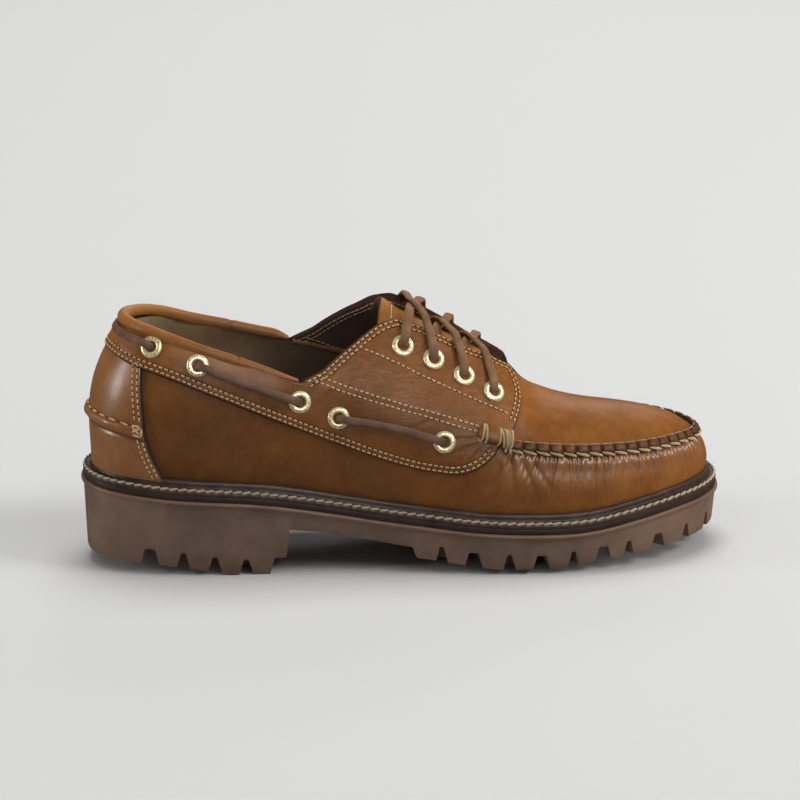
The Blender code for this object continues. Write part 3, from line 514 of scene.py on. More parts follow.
CROSS_TOP = table(
    "way lift",
    (0.0, -1.5), (0.005, 2.0), (0.045, 4.2), (0.12, 3.8), (0.19, 3.3), (0.25, 3.1), (0.33, 2.2),
    (0.42, 0.9), (0.5, 0.3), (0.58, 0.4), (0.67, 1.2), (0.75, 2.4), (0.81, 2.9), (0.88, 3.4),
    (0.955, 4.0), (0.995, 2.0), (1.0, -1.5),
)

# Welt edge and lip, then rings of the sole as inset from its edge and height above its seat
WELT_EDGE = table(
    "out up scallop edge",
    (-4.0, 0.0, 0.0, 0.0), (-0.1, -0.05, 0.0, 0.0), (0.05, 0.2, 0.0, 0.2), (0.08, 0.9, 0.0, 0.3),
    (0.05, 1.5, 0.1, 0.3), (-0.12, 2.0, 0.2, 0.2), (-0.5, 2.35, 0.24, 0.1), (-1.1, 2.55, 0.15, 0.0),
    (-1.9, 2.7, 0.05, 0.0), (-3.0, 2.8, 0.0, 0.0),
)
WELT_LIP_ROWS = table(
    "rise out edge",
    (0.0, 2.3, 0.0), (0.3, 2.1, 0.0), (0.65, 1.9, 0.1), (0.95, 1.65, 0.3), (1.15, 1.2, 0.4),
    (1.22, 0.55, 0.2), (1.1, -0.2, 0.0),
)
MIDSOLE_ROWS = (
    (6.0, 0.1), (0.95, 0.12), (0.84, 0.35), (0.82, 1.4), (0.84, 2.5), (0.9, 2.76), (6.0, 2.78),
)
RIM_ROWS = (
    (0.9, -2.2), (0.05, -1.9), (-0.1, -1.4), (-0.12, -0.8), (0.0, -0.25), (0.5, 0.1), (6.0, 0.12),
)
SOLE_RINGS = ((RIM_STEP, -RIM_HEIGHT - 0.5), (0.1, -RIM_HEIGHT), (0.1, -0.4), (0.6, 0.0))

# Colours, linear
LEATHER_DARK = (0.148, 0.049, 0.0085)
LEATHER_MID = (0.222, 0.080, 0.0155)
LEATHER_LIGHT = (0.320, 0.134, 0.038)
SEAM_DARK = (0.050, 0.018, 0.007)
SEAM_MID = (0.092, 0.033, 0.012)
SEAM_LIGHT = (0.175, 0.074, 0.029)
EDGE_BROWN = (0.030, 0.014, 0.009)
LINING_PALE_DARK = (0.290, 0.185, 0.095)
LINING_PALE_MID = (0.410, 0.285, 0.158)
LINING_DARK_DARK = (0.058, 0.034, 0.024)
LINING_DARK_MID = (0.100, 0.060, 0.042)
SIDE_LACE_DARK = (0.078, 0.036, 0.019)
SIDE_LACE_MID = (0.140, 0.066, 0.037)
SIDE_LACE_PALE = (0.270, 0.155, 0.092)
LACE_DARK = (0.120, 0.058, 0.024)
LACE_MID = (0.205, 0.102, 0.047)
LACE_PALE = (0.350, 0.215, 0.112)
THREAD_PALE = (0.680, 0.460, 0.250)
THREAD_SHADE = (0.450, 0.275, 0.125)
SEAM_THREAD_PALE = (0.470, 0.335, 0.168)
SEAM_THREAD_SHADE = (0.240, 0.160, 0.074)
WELT_THREAD_PALE = (0.400, 0.330, 0.225)
WELT_THREAD_SHADE = (0.270, 0.210, 0.140)
HOLE_DARK = (0.020, 0.009, 0.004)
WELT_DARK_TONE = (0.026, 0.015, 0.011)
WELT_MID_TONE = (0.062, 0.033, 0.021)
WELT_EDGE_TONE = (0.034, 0.021, 0.016)
RUBBER_DARK = (0.125, 0.074, 0.049)
RUBBER_MID = (0.175, 0.104, 0.069)
RUBBER_EDGE_HIGHLIGHT = (0.500, 0.290, 0.180)
RUBBER_PALE = (0.280, 0.190, 0.140)
RIM_DARK = (0.120, 0.062, 0.038)
RIM_MID = (0.170, 0.090, 0.054)
BRASS_LIGHT = (0.950, 0.820, 0.500)
BRASS_DARK = (0.680, 0.530, 0.270)
BRASS_MARK = (0.120, 0.080, 0.040)
FLOOR_PALE = (0.640, 0.636, 0.628)
FLOOR_GREY = (0.520, 0.520, 0.512)

# Stage: floor, lights, camera
FLOOR_SIZE = 12.0
FLOOR_RANGE = (-0.1, 1.9)
WORLD_TINT = (1.0, 1.0, 1.0)
WORLD_POWER = 0.1
LIGHTS = table(
    "name place size power diffuse glossy",
    ("overhead", (0.1, 0.9, 4.0), (2.4, 2.4), 120.0, True, False),
    ("front_left", (-1.5, -1.3, 2.4), (1.1, 0.9), 8.0, True, False),
    ("front_right", (1.9, -0.9, 1.9), (0.8, 0.6), 30.0, True, True),
    ("front_top", (0.9, -1.6, 2.0), (1.6, 0.3), 7.0, True, False),
    ("front_strip", (0.5, -2.2, 1.1), (1.8, 0.3), 44.0, False, True),
    ("right_low", (1.8, -0.2, 0.35), (0.5, 0.4), 20.0, True, False),
    ("left_box", (-1.7, -0.12, 0.4), (0.4, 0.6), 12.0, True, True),
    ("back_box", (0.5, 2.2, 1.4), (1.6, 0.7), 10.0, True, True),
)
LIGHT_TARGET = (0.0, 0.0, 0.05)
CAMERA_LENS = 154.4
CAMERA_AZIMUTH = -6.0
CAMERA_ELEVATION = 16.0
CAMERA_DISTANCE = 1.6
CAMERA_TARGET = (-0.0012, 0.0, 0.071)


def hermite(stations, values, at, flat_ends=False):
    """Values on a smooth curve through the stations."""
    slopes = np.gradient(values, stations)
    if flat_ends:
        slopes[0] = slopes[-1] = 0.0
    at = np.clip(at, stations[0], stations[-1])
    i = np.clip(np.searchsorted(stations, at) - 1, 0, len(stations) - 2)
    step = stations[i + 1] - stations[i]
    s = (at - stations[i]) / step
    start = (1 + 2 * s) * (1 - s) ** 2 * values[i] + s * (1 - s) ** 2 * step * slopes[i]
    end = s * s * (3 - 2 * s) * values[i + 1] + s * s * (s - 1) * step * slopes[i + 1]
    return start + end


def column(rows, name):
    return np.array([getattr(row, name) for row in rows], float)


def firsts(rows):
    """First column of a table, which says where each row is."""
    return np.array([row[0] for row in rows], float)


def smooth(rows, name, at):
    """Values of a column on a smooth curve over the first one."""
    return hermite(firsts(rows), column(rows, name), np.asarray(at, float))


def straight(rows, name, at):
    """Values of a column on straight lines over the first one."""
    return np.interp(np.asarray(at, float), firsts(rows), column(rows, name))


class Loop:
    """Closed plan curve; turn 0 is the heel, pi the toe, negative turns lateral and positive ones medial."""

    def __init__(self, rows, heel_radius, toe_radius):
        self.rows = rows
        stations = column(rows, "x")
        self.middle = (stations[0] + stations[-1]) / 2
        self.reach = (stations[-1] - stations[0]) / 2
        self.turns = np.arccos(np.clip((self.middle - stations) / self.reach, -1, 1))
        half = column(rows, "half")
        self.fullness = np.empty_like(half)
        self.fullness[1:-1] = half[1:-1] / np.sin(self.turns[1:-1])
        self.fullness[0] = math.sqrt(heel_radius * self.reach)
        self.fullness[-1] = math.sqrt(toe_radius * self.reach)

    def at(self, turn):
        """Plan point at a turn, as x and y arrays."""
        folded = np.abs((turn + math.pi) % math.tau - math.pi)
        x = self.middle - self.reach * np.cos(turn)
        y = smooth(self.rows, "centre", x) + np.sin(turn) * hermite(self.turns, self.fullness, folded, True)
        return x, y

    def normal(self, turn):
        """Outward plan normal at a turn."""
        x0, y0 = self.at(turn - 1e-3)
        x1, y1 = self.at(turn + 1e-3)
        length = np.hypot(x1 - x0, y1 - y0)
        return -(y1 - y0) / length, (x1 - x0) / length

    def inset(self, turn, depth):
        x, y = self.at(turn)
        nx, ny = self.normal(turn)
        return x - nx * depth, y - ny * depth

    def turn_at(self, x):
        return np.arccos(np.clip((self.middle - np.asarray(x, float)) / self.reach, -1, 1))


def upright(loop, turn):
    """Outward normals of a loop as level vectors."""
    nx, ny = loop.normal(turn)
    return np.stack([nx, ny, 0 * nx], -1)


SOLE = Loop(SOLE_PLAN, SOLE_HEEL_RADIUS, SOLE_TOE_RADIUS)
TOP = Loop(TOP_LINE, TOP_HEEL_RADIUS, TOP_TOE_RADIUS)
UPPER_FOOT = SEAT_GAP + MIDSOLE_THICK + FOOT_GAP


def seat(x):
    """Height of the rubber's top face."""
    return smooth(SOLE_SIDE, "seat", x)


def foot_line(turn):
    """Lower edge of the upper's wall."""
    x, y = SOLE.inset(turn, FEATHER_INSET)
    return x, y, seat(x) + UPPER_FOOT


def top_line(turn):
    x, y = TOP.at(turn)
    z = np.where(np.sin(turn) < 0, smooth(TOP_LINE, "lateral_z", x), smooth(TOP_LINE, "medial_z", x))
    return x, y, z


def raw_skin(turn, level):
    """Outer face of the upper: level 0 its foot, 1 the topline or seam, 2 the crown line."""
    turn, level = np.broadcast_arrays(np.asarray(turn, float), np.asarray(level, float))
    fx, fy, fz = foot_line(turn)
    tx, ty, tz = top_line(turn)
    nx, ny = TOP.normal(turn)
    arc = np.sin(math.pi * np.abs(level) ** BULGE_SKEW) * np.sign(level)
    swell = smooth(TOP_LINE, "bulge", tx) * arc
    wx = fx + (tx - fx) * level + nx * swell
    wy = fy + (ty - fy) * level + ny * swell
    wall = np.stack([wx, wy, fz + (tz - fz) * level], -1)
    open_share = 2 - level
    fan = TOP_LINE[-1].x - FAN_START
    run = share_of(tx, FAN_START, TOP_LINE[-1].x)
    bend = 1 - (FAN_CENTRE - FAN_START) / fan
    cx = np.where(run > 0, FAN_START + fan * run * (1 - bend * run), tx)
    cy = smooth(TOP_LINE, "centre", cx)
    px = cx + open_share * (tx - cx)
    py = cy + open_share * (ty - cy)
    pz = smooth(CROWN, "z", px) + (tz - smooth(CROWN, "z", tx)) * open_share**2
    return np.where((level <= 1)[..., None], wall, np.stack([px, py, pz], -1))


def skin_normal(turn, level):
    """Outward normal, read just beside the crown line, where the two sides meet."""
    level = np.minimum(level, 1.97)
    along = raw_skin(turn + 2e-3, level) - raw_skin(turn - 2e-3, level)
    upward = raw_skin(turn, level + 4e-3) - raw_skin(turn, level - 4e-3)
    normal = np.cross(upward, along)
    return normal / np.linalg.norm(normal, axis=-1, keepdims=True)


def skin(turn, level, lift=0.0):
    """Point on the upper's outer face, lifted off it along its normal."""
    turn, level, lift = np.broadcast_arrays(*(np.asarray(v, float) for v in (turn, level, lift)))
    return raw_skin(turn, level) + skin_normal(turn, level) * lift[..., None]


def level_at(turn, z):
    """Wall level that has a height."""
    low = foot_line(turn)[2]
    return (z - low) / (top_line(turn)[2] - low)


def throat_share(turn, station):
    """Share of the half width left open on the turn's side."""
    lateral = straight(THROAT, "lateral", station)
    return np.where(np.asarray(turn) < 0, lateral, straight(THROAT, "medial", station))


def surface(name, points, quads, **fields):
    """Smooth mesh from millimetre points and quads, with a float field for each keyword."""
    points = np.asarray(points, float).reshape(-1, 3)
    quads = np.asarray(quads, np.int32)
    mesh = bpy.data.meshes.new(name)
    mesh.vertices.add(len(points))
    mesh.vertices.foreach_set("co", (points * MM).astype(np.float32).ravel())
    mesh.loops.add(quads.size)
    mesh.loops.foreach_set("vertex_index", quads.ravel())
    mesh.polygons.add(len(quads))
    mesh.polygons.foreach_set("loop_start", np.arange(0, quads.size, 4, dtype=np.int32))
    mesh.update(calc_edges=True)
    mesh.shade_smooth()
    for field, values in fields.items():
        values = np.full(len(points), values) if np.ndim(values) == 0 else values
        layer = mesh.attributes.new(field, "FLOAT", "POINT")
        layer.data.foreach_set("value", np.asarray(values, np.float32).ravel())
    return mesh


def grid(*values):
    """Arrays of every combination of the values, the first one slowest."""
    return np.meshgrid(*values, indexing="ij")


def grid_quads(columns, rows, wrap=False, flip=False):
    """Quads of a grid of columns and rows, seen from outside when columns follow the turn and rows go up."""
    i, j = grid(np.arange(columns if wrap else columns - 1), np.arange(rows - 1))
    here = (i * rows + j).ravel()
    beside = ((i + 1) % columns * rows + j).ravel()
    quads = np.stack([here, here + 1, beside + 1, beside], 1)
    return quads[:, ::-1] if flip else quads


def tube_quads(rings, sides):
    """Quads between closed rings of points."""
    i, k = (v.ravel() for v in grid(np.arange(rings - 1), np.arange(sides)))
    a, b = i * sides + k, i * sides + (k + 1) % sides
    return np.stack([a, b, b + sides, a + sides], 1)


def copies(quads, count, each):
    """Quads of several like forms that have the same number of points each."""
    return (np.arange(count)[:, None, None] * each + quads[None]).reshape(-1, 4)


def add_object(name, data):
    """New object in the scene."""
    made = bpy.data.objects.new(name, data)
    bpy.context.scene.collection.objects.link(made)
    return made


def add_piece(name, mesh, materials, slot, *nodes):
    """Piece that rides on the shoe and stands for the named solids."""
    for material in materials if isinstance(materials, (list, tuple)) else [materials]:
        mesh.materials.append(material)
    piece = add_object(name, mesh)
    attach(piece, "root")
    if nodes:
        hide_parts(*nodes)
    return piece


def grid_piece(name, points, material, slot, *nodes, wrap=False, flip=False, **fields):
    """Piece from a grid of points, with a float field for each further keyword."""
    mesh = surface(name, points, grid_quads(*points.shape[:2], wrap, flip), **fields)
    add_piece(name, mesh, material, slot, *nodes)


def ripple(points, depth, wavelength, seed, waves=7):
    """Smooth uneven field over points, of a depth up and down."""
    rng = np.random.default_rng(seed)
    total = 0.0
    for _ in range(waves):
        direction = rng.normal(size=3)
        direction *= math.tau / (wavelength * rng.uniform(0.7, 1.5) * np.linalg.norm(direction))
        total = total + np.sin(points @ direction + rng.uniform(0, math.tau))
    return depth * (total / (waves * 0.6))


def share_of(value, low, high):
    """Share of the way from low to high, held between 0 and 1."""
    return np.clip((np.asarray(value, float) - low) / (high - low), 0, 1)


def ramp(value, low, high):
    """Smooth step from 0 at low to 1 at high."""
    share = share_of(value, low, high)
    return share * share * (3 - 2 * share)


def bell(value, width, power=2):
    """1 at zero, falling off smoothly within a width."""
    return np.exp(-((value / width) ** power))


def unit(vectors):
    return vectors / np.maximum(np.linalg.norm(vectors, axis=-1, keepdims=True), 1e-9)


def square(vectors, along):
    """Unit vectors turned square to unit directions."""
    return unit(vectors - along * (vectors * along).sum(-1, keepdims=True))


def path_length(points):
    return np.concatenate([[0.0], np.cumsum(np.linalg.norm(np.diff(points, axis=0), axis=1))])


def middles(length, count):
    """Middles of the equal parts of a length."""
    return (np.arange(count) + 0.5) * length / count


def settle(turns, levels, target):
    """Turns and levels of the surface points nearest to targets, from a close start."""
    step = 1e-3
    for _ in range(4):
        here = raw_skin(turns, levels)
        by_turn = (raw_skin(turns + step, levels) - here) / step
        by_level = (raw_skin(turns, levels + step) - here) / step
        gap = target - here
        a, b, c = (by_turn * by_turn).sum(-1), (by_turn * by_level).sum(-1), (by_level * by_level).sum(-1)
        p, q = (by_turn * gap).sum(-1), (by_level * gap).sum(-1)
        scale = a * c - b * b
        turns = turns + (c * p - b * q) / scale
        levels = levels + (a * q - b * p) / scale
    return turns, levels


def offset_line(turns, levels, distance):
    """Line moved over the surface by a distance, to the right of its direction seen from outside."""
    place = raw_skin(turns, levels)
    along = unit(np.gradient(place, axis=0))
    inward = np.cross(along, skin_normal(turns, levels))
    return settle(turns, levels, place + inward * distance)


def even_line(turns, levels, pitch):
    """The line's turns and levels at even steps of about a pitch."""
    length = path_length(raw_skin(turns, levels))
    count = max(2, int(round(length[-1] / pitch)))
    at = middles(length[-1], count)
    return np.interp(at, length, turns), np.interp(at, length, levels)


class Threads:
    """Stitches gathered into one mesh."""

    RINGS = np.array([-1.0, -0.86, -0.5, 0.0, 0.5, 0.86, 1.0])
    SIDES = 7

    def __init__(self):
        self.places, self.along, self.up, self.size = [], [], [], []

    def add(self, places, along, up, length, radius, flat=0.8, sink=0.5):
        """Stitches at places; sink is how far the ends dip, in radii."""
        self.places.append(places)
        self.along.append(unit(along))
        self.up.append(square(up, unit(along)))
        self.size.append(np.tile([length, radius, flat, sink], (len(places), 1)))

    def row(self, turns, levels, lift, pitch, length, radius, inside=False):
        """Row of stitches on the skin along a line; gives their places, directions and normals."""
        t, v = even_line(turns, levels, pitch)
        places = skin(t, v, lift(t, v) if callable(lift) else lift)
        along = np.gradient(places, axis=0)
        normal = skin_normal(t, v)
        self.add(places, along, -normal if inside else normal, length, radius)
        return places, along, normal

    def mesh(self, name):
        places, along, up = (np.concatenate(v) for v in (self.places, self.along, self.up))
        length, radius, flat, sink = np.concatenate(self.size).T
        side = np.cross(along, up)
        ring = self.RINGS[None, :, None]
        angle = np.linspace(0, math.tau, self.SIDES, endpoint=False)[None, None, :]
        swell = np.sqrt(np.maximum(1 - np.abs(ring) ** 3.2, 0.0))
        r = radius[:, None, None]
        across = r * swell * np.cos(angle)
        rise = r * flat[:, None, None] * swell * np.sin(angle)
        rise = rise + r * sink[:, None, None] * (0.6 - ring**2)
        out = (length / 2)[:, None, None] * ring + 0 * angle
        points = places[:, None, None, :] + sum(
            w[..., None] * d[:, None, None, :] for w, d in ((out, along), (across, side), (rise, up))
        )
        count, rings, sides = points.shape[:3]
        quads = copies(tube_quads(rings, sides), count, rings * sides)
        return surface(name, points, quads, tone=np.repeat(ripple(places, *THREAD_MOTTLE), rings * sides))


def spline(points, count):
    """Smooth even curve through points."""
    points = np.asarray(points, float)
    at = path_length(points)
    fine = np.linspace(0, at[-1], count * 4)
    curve = np.stack([hermite(at, points[:, k].copy(), fine) for k in range(3)], 1)
    length = path_length(curve)
    even = np.linspace(0, length[-1], count)
    return np.stack([np.interp(even, length, curve[:, k]) for k in range(3)], 1)


def sweep(route, ups, half_width, half_thick, sides=20, power=3.2, seed=1):
    """Strip with a rounded section along a route; ups points out of its flat side."""
    along = unit(np.gradient(route, axis=0))
    up = square(ups, along)
    side = np.cross(along, up)
    angle = np.linspace(0, math.tau, sides, endpoint=False)
    shape = (np.abs(np.cos(angle)) ** power + np.abs(np.sin(angle)) ** power) ** (-1 / power)
    half_width = np.broadcast_to(half_width, len(route)) * (1 + ripple(route, *STRIP_WAVE, seed))
    half_thick = np.broadcast_to(half_thick, len(route))
    wide = half_width[:, None] * (shape * np.cos(angle))
    high = half_thick[:, None] * (shape * np.sin(angle))
    points = route[:, None, :] + wide[..., None] * side[:, None, :] + high[..., None] * up[:, None, :]
    ends = np.repeat(route[[0, -1]][:, None, :], sides, axis=1)
    points = np.concatenate([ends[:1], points, ends[1:]])
    edge = np.broadcast_to(np.abs(np.cos(angle)) ** 6, points.shape[:2])
    quads = tube_quads(len(points), sides)[:, [0, 3, 2, 1]]
    return points.reshape(-1, 3), quads, edge.ravel()


def joined(name, parts):
    """One mesh from several sweeps."""
    points, quads, edges = zip(*parts)
    starts = np.cumsum([0] + [len(p) for p in points])
    quads = np.concatenate([q + start for q, start in zip(quads, starts)])
    return surface(name, np.concatenate(points), quads, edge=np.concatenate(edges), tone=0.0)


class Nodes:
    """Short way to build a material's nodes."""

    def __init__(self, name):
        self.material = bpy.data.materials.new(name)
        self.material.use_nodes = True
        self.tree = self.material.node_tree
        self.shader = self.tree.nodes["Principled BSDF"]
        self.place = self.tree.nodes.new("ShaderNodeTexCoord").outputs["Object"]

    def put(self, value, socket):
        """Link an output to a socket, or set the socket's own value."""
        if isinstance(value, bpy.types.NodeSocket):
            self.tree.links.new(value, socket)
        else:
            socket.default_value = (*value, 1.0) if socket.type == "RGBA" else value

    def node(self, kind, inputs=(), **settings):
        made = self.tree.nodes.new("ShaderNode" + kind)
        for key, value in settings.items():
            setattr(made, key, value)
        for key, value in dict(inputs).items():
            self.put(value, made.inputs[key])
        return made

    def noise(self, size_mm, detail=3.0, rough=0.5, distortion=0.0, place=None):
        """Noise of a given feature size, 0 to 1."""
        inputs = {"Vector": place or self.place, "Scale": 1 / (size_mm * MM), "Detail": detail}
        inputs.update({"Roughness": rough, "Distortion": distortion})
        return self.node("TexNoise", inputs).outputs["Fac"]

    def stretched(self, factors, turn=(0.0, 0.0, 0.0)):
        """Place with its axes stretched and turned."""
        inputs = {"Vector": self.place, "Rotation": turn, "Scale": factors}
        return self.node("Mapping", inputs).outputs["Vector"]

    def cells(self, size_mm):
        """Distance to the middle of the nearest cell of a given size."""
        inputs = {"Vector": self.place, "Scale": 1 / (size_mm * MM)}
        return self.node("TexVoronoi", inputs).outputs["Distance"]

    def field(self, name):
        return self.node("Attribute", attribute_name=name).outputs["Fac"]

    def math(self, operation, a, b=0.0):
        return self.node("Math", {0: a, 1: b}, operation=operation).outputs[0]

    def span(self, value, low_high, to=(0.0, 1.0)):
        """Value mapped from one range to another, held at its ends."""
        names = "Value", "From Min", "From Max", "To Min", "To Max"
        return self.node("MapRange", zip(names, (value, *low_high, *to))).outputs["Result"]

    def mix(self, factor, a, b):
        """Colour between a and b by a factor."""
        made = self.node("Mix", {0: factor}, data_type="RGBA")
        for value, socket in zip((a, b), [s for s in made.inputs if s.type == "RGBA"]):
            self.put(value, socket)
        return [s for s in made.outputs if s.type == "RGBA"][0]

    def bump(self, layers):
        """Bump from (height, depth in mm) layers."""
        normal = None
        for height, depth in layers:
            made = self.node("Bump", {"Height": height, "Strength": 1.0, "Distance": depth * MM})
            if normal:
                self.put(normal, made.inputs["Normal"])
            normal = made.outputs["Normal"]
        self.put(normal, self.shader.inputs["Normal"])

    def finish(self, colour, roughness, **settings):
        """The material, its shader's further inputs set by keyword."""
        self.put(colour, self.shader.inputs["Base Color"])
        for key, value in {"roughness": roughness, **settings}.items():
            self.put(value, self.shader.inputs[key.replace("_", " ").title().replace("Ior", "IOR")])
        return self.material


def shade(colour, factor):
    return tuple(min(1.0, c * factor) for c in colour)


def leather_material(name, dark, mid, light, wrinkle=0.1, gloss=(0.32, 0.46), coat=0.03):
    """Waxed pull-up leather: mottled colour, paler where the tone field is high, fine grain and wrinkles."""
    n = Nodes(name)
    mottle = n.noise(26.0, 4.0, 0.6)
    cloud = n.noise(7.0, 5.0, 0.65)
    colour = n.mix(n.span(mottle, (0.3, 0.7)), dark, mid)
    colour = n.mix(n.span(cloud, (0.45, 0.8), (0.0, 0.45)), colour, light)
    # The tone field holds random mottle and also the painted light and painted shade that each piece sets
    tone = n.field("tone")
    colour = n.mix(n.span(tone, (0.0, 1.0), (0.0, 0.85)), colour, light)
    colour = n.mix(n.span(tone, (0.0, -1.0), (0.0, 0.85)), colour, shade(dark, 0.45))
    pores = n.cells(0.75)
    colour = n.mix(n.span(pores, (0.0, 0.35), (0.22, 0.0)), colour, shade(dark, 0.5))
    rough = n.span(n.noise(3.0, 4.0, 0.6), (0.3, 0.7), gloss)
    creases = n.noise(2.4, 5.0, 0.62, 1.6, n.stretched((1.0, 1.0, 0.55)))
    slanted = n.stretched((0.5, 1.0, 1.7), (0.0, 0.6, 0.0))
    crumple = n.math("MULTIPLY", n.noise(2.6, 5.0, 0.6, 0.9, slanted), n.field("crumple"))
    veins = n.math("ABSOLUTE", n.math("SUBTRACT", n.noise(7.0, 4.0, 0.55, 1.2, slanted), 0.5))
    veins = n.math("MULTIPLY", n.span(veins, (0.0, 0.025), (0.42, 0.0)), n.field("crumple"))
    colour = n.mix(veins, colour, light)
    colour = n.mix(n.field("edge"), colour, EDGE_BROWN)
    coarse, fine = n.noise(9.0, 2.0), n.noise(0.35, 2.0)
    n.bump(((coarse, 0.18), (creases, wrinkle), (crumple, 0.46), (pores, 0.035), (fine, 0.025)))
    wax = n.field("wax")
    shine = n.span(wax, (0.0, 1.0), (coat, 0.9))
    level = n.span(wax, (0.0, 1.0), (0.15, 0.5))
    return n.finish(colour, rough, coat_weight=shine, coat_roughness=0.28, specular_ior_level=level)


def thread_material(name, pale, dim):
    n = Nodes(name)
    colour = n.mix(n.span(n.noise(0.5, 3.0), (0.3, 0.7), (0.0, 0.7)), pale, dim)
    colour = n.mix(n.span(n.field("tone"), (-1.0, 1.0), (0.0, 0.5)), colour, dim)
    n.bump(((n.noise(0.28, 2.0, place=n.stretched((1.0, 1.0, 0.4))), 0.08),))
    return n.finish(colour, 0.72, sheen_weight=0.2, specular_ior_level=0.25)


def lace_material(name, dark, mid, pale):
    n = Nodes(name)
    fibre = n.noise(0.5, 4.0, 0.6)
    colour = n.mix(n.span(n.noise(6.0, 4.0), (0.3, 0.7)), dark, mid)
    colour = n.mix(n.span(n.field("edge"), (0.35, 1.0), (0.0, 0.5)), colour, pale)
    colour = n.mix(n.span(fibre, (0.55, 0.75), (0.0, 0.35)), colour, pale)
    n.bump(((n.noise(1.6, 4.0, 0.6), 0.12), (fibre, 0.04)))
    return n.finish(colour, n.span(fibre, (0.3, 0.7), (0.5, 0.72)), specular_ior_level=0.35)


def rubber_material(name, dark, mid, roughness=(0.42, 0.6)):
    n = Nodes(name)
    colour = n.mix(n.span(n.noise(18.0, 4.0, 0.6), (0.35, 0.65)), dark, mid)
    dust = n.noise(1.2, 5.0, 0.7)
    colour = n.mix(n.span(dust, (0.62, 0.8), (0.0, 0.18)), colour, RUBBER_PALE)
    n.bump(((n.noise(5.0, 3.0), 0.08), (n.noise(0.5, 3.0), 0.025)))
    return n.finish(colour, n.span(dust, (0.3, 0.75), roughness), specular_ior_level=0.4)


def brass_material():
    n = Nodes("brass")
    worn = n.noise(2.0, 5.0, 0.65)
    colour = n.mix(n.span(worn, (0.35, 0.7)), BRASS_LIGHT, BRASS_DARK)
    colour = n.mix(n.span(n.field("mark"), (0.2, 0.8), (0.0, 0.75)), colour, BRASS_MARK)
    n.bump(((n.noise(0.8, 3.0), 0.03),))
    return n.finish(colour, n.span(worn, (0.3, 0.7), (0.26, 0.42)), metallic=0.55)


def lining_material(name, dark, mid):
    n = Nodes(name)
    nap = n.noise(0.7, 4.0, 0.7)
    colour = n.mix(n.span(n.noise(12.0, 4.0), (0.3, 0.7)), dark, mid)
    colour = n.mix(n.span(nap, (0.5, 0.8), (0.0, 0.3)), colour, shade(mid, 1.5))
    colour = n.mix(n.span(n.field("tone"), (0.0, -1.0)), colour, shade(dark, 0.25))
    n.bump(((nap, 0.1), (n.noise(5.0, 2.0), 0.15)))
    return n.finish(colour, 0.88, sheen_weight=0.25, specular_ior_level=0.2)


def welt_material(name, dark, mid, roughness=(0.3, 0.5)):
    n = Nodes(name)
    grain = n.noise(1.1, 5.0, 0.65)
    colour = n.mix(n.span(n.noise(8.0, 4.0, 0.6), (0.35, 0.65)), dark, mid)
    colour = n.mix(n.field("edge"), colour, mid)
    n.bump(((grain, 0.14), (n.noise(4.0, 3.0), 0.12)))
    return n.finish(colour, n.span(grain, (0.3, 0.7), roughness), coat_weight=0.02, specular_ior_level=0.24)


def toe_columns(split_x, spacing):
    """Turns from the medial side round the toe to the lateral side, evenly spaced along the seam."""
    split = TOP.turn_at(split_x)
    fine = np.linspace(split, math.tau - split, 800)
    length = path_length(raw_skin(fine, 1.0))
    return np.interp(np.linspace(0, length[-1], int(length[-1] / spacing)), length, fine)


def front_columns(back_x, spacing_back, spacing_front, split_x):
    """Turns from one side round the toe to the other, finer in front of a station."""
    count = int((split_x - back_x) / spacing_back)
    rear = np.linspace(TOP.turn_at(back_x), TOP.turn_at(split_x), count)[:-1]
    return np.concatenate([rear, toe_columns(split_x, spacing_front), math.tau - rear[::-1]])


def seam_place(turns):
    """Length along the seam from its medial end, for a grid of turns."""
    fine = np.linspace(0, math.tau, 3000)
    length = path_length(raw_skin(fine, 1.0))
    return np.interp(np.mod(turns, math.tau), fine, length)


def gathers(turns, below):
    """Pleats that run down from the gathered seam: 0 on their ridges, towards -1 in the valleys between."""
    rng = np.random.default_rng(11)
    back = TOP.turn_at(GATHER_BACK)
    first, last = seam_place(np.array([back, math.tau - back]))
    steps = rng.uniform(0.5, 1.5, int((last - first) / GATHER_PITCH))
    valleys = first + np.cumsum(steps) * (last - first) / steps.sum()
    strength = rng.uniform(0.3, 1.0, len(valleys))
    reach = rng.uniform(*GATHER_REACH, len(valleys))
    lean = rng.normal(0, 0.12, len(valleys))
    along = seam_place(turns)
    fan = np.exp(-np.clip(np.minimum(along - first, last - along), 0, None) / GATHER_FAN)
    slant = GATHER_SLANT * fan * np.sign(2 * along - first - last) + np.interp(along, valleys, lean)
    place = along - slant * below
    pleat = np.clip(np.searchsorted(valleys, place), 1, len(valleys) - 1)
    share = np.clip((place - valleys[pleat - 1]) / (valleys[pleat] - valleys[pleat - 1]), 0, 1)
    ridge = 0.5 - 0.5 * np.cos(math.tau * share)
    fade = bell(below, np.interp(place, valleys, reach))
    fade = fade * ramp(along, first - GATHER_FADE, first) * ramp(-along, -last - GATHER_FADE, -last)
    return (ridge - 1) * np.interp(place, valleys, strength) * fade


def wall_drop(turns, levels):
    """Distance down the wall from the seam or topline."""
    height = np.linalg.norm(raw_skin(turns, 1.0) - raw_skin(turns, 0.0), axis=-1)
    return (1 - levels) * height


def two_runs(ends, counts):
    """Even steps from the first end to the middle one, then on to the last."""
    first, second = (np.linspace(*ends[i:i + 2], counts[i]) for i in (0, 1))
    return np.concatenate([first, second[1:]])


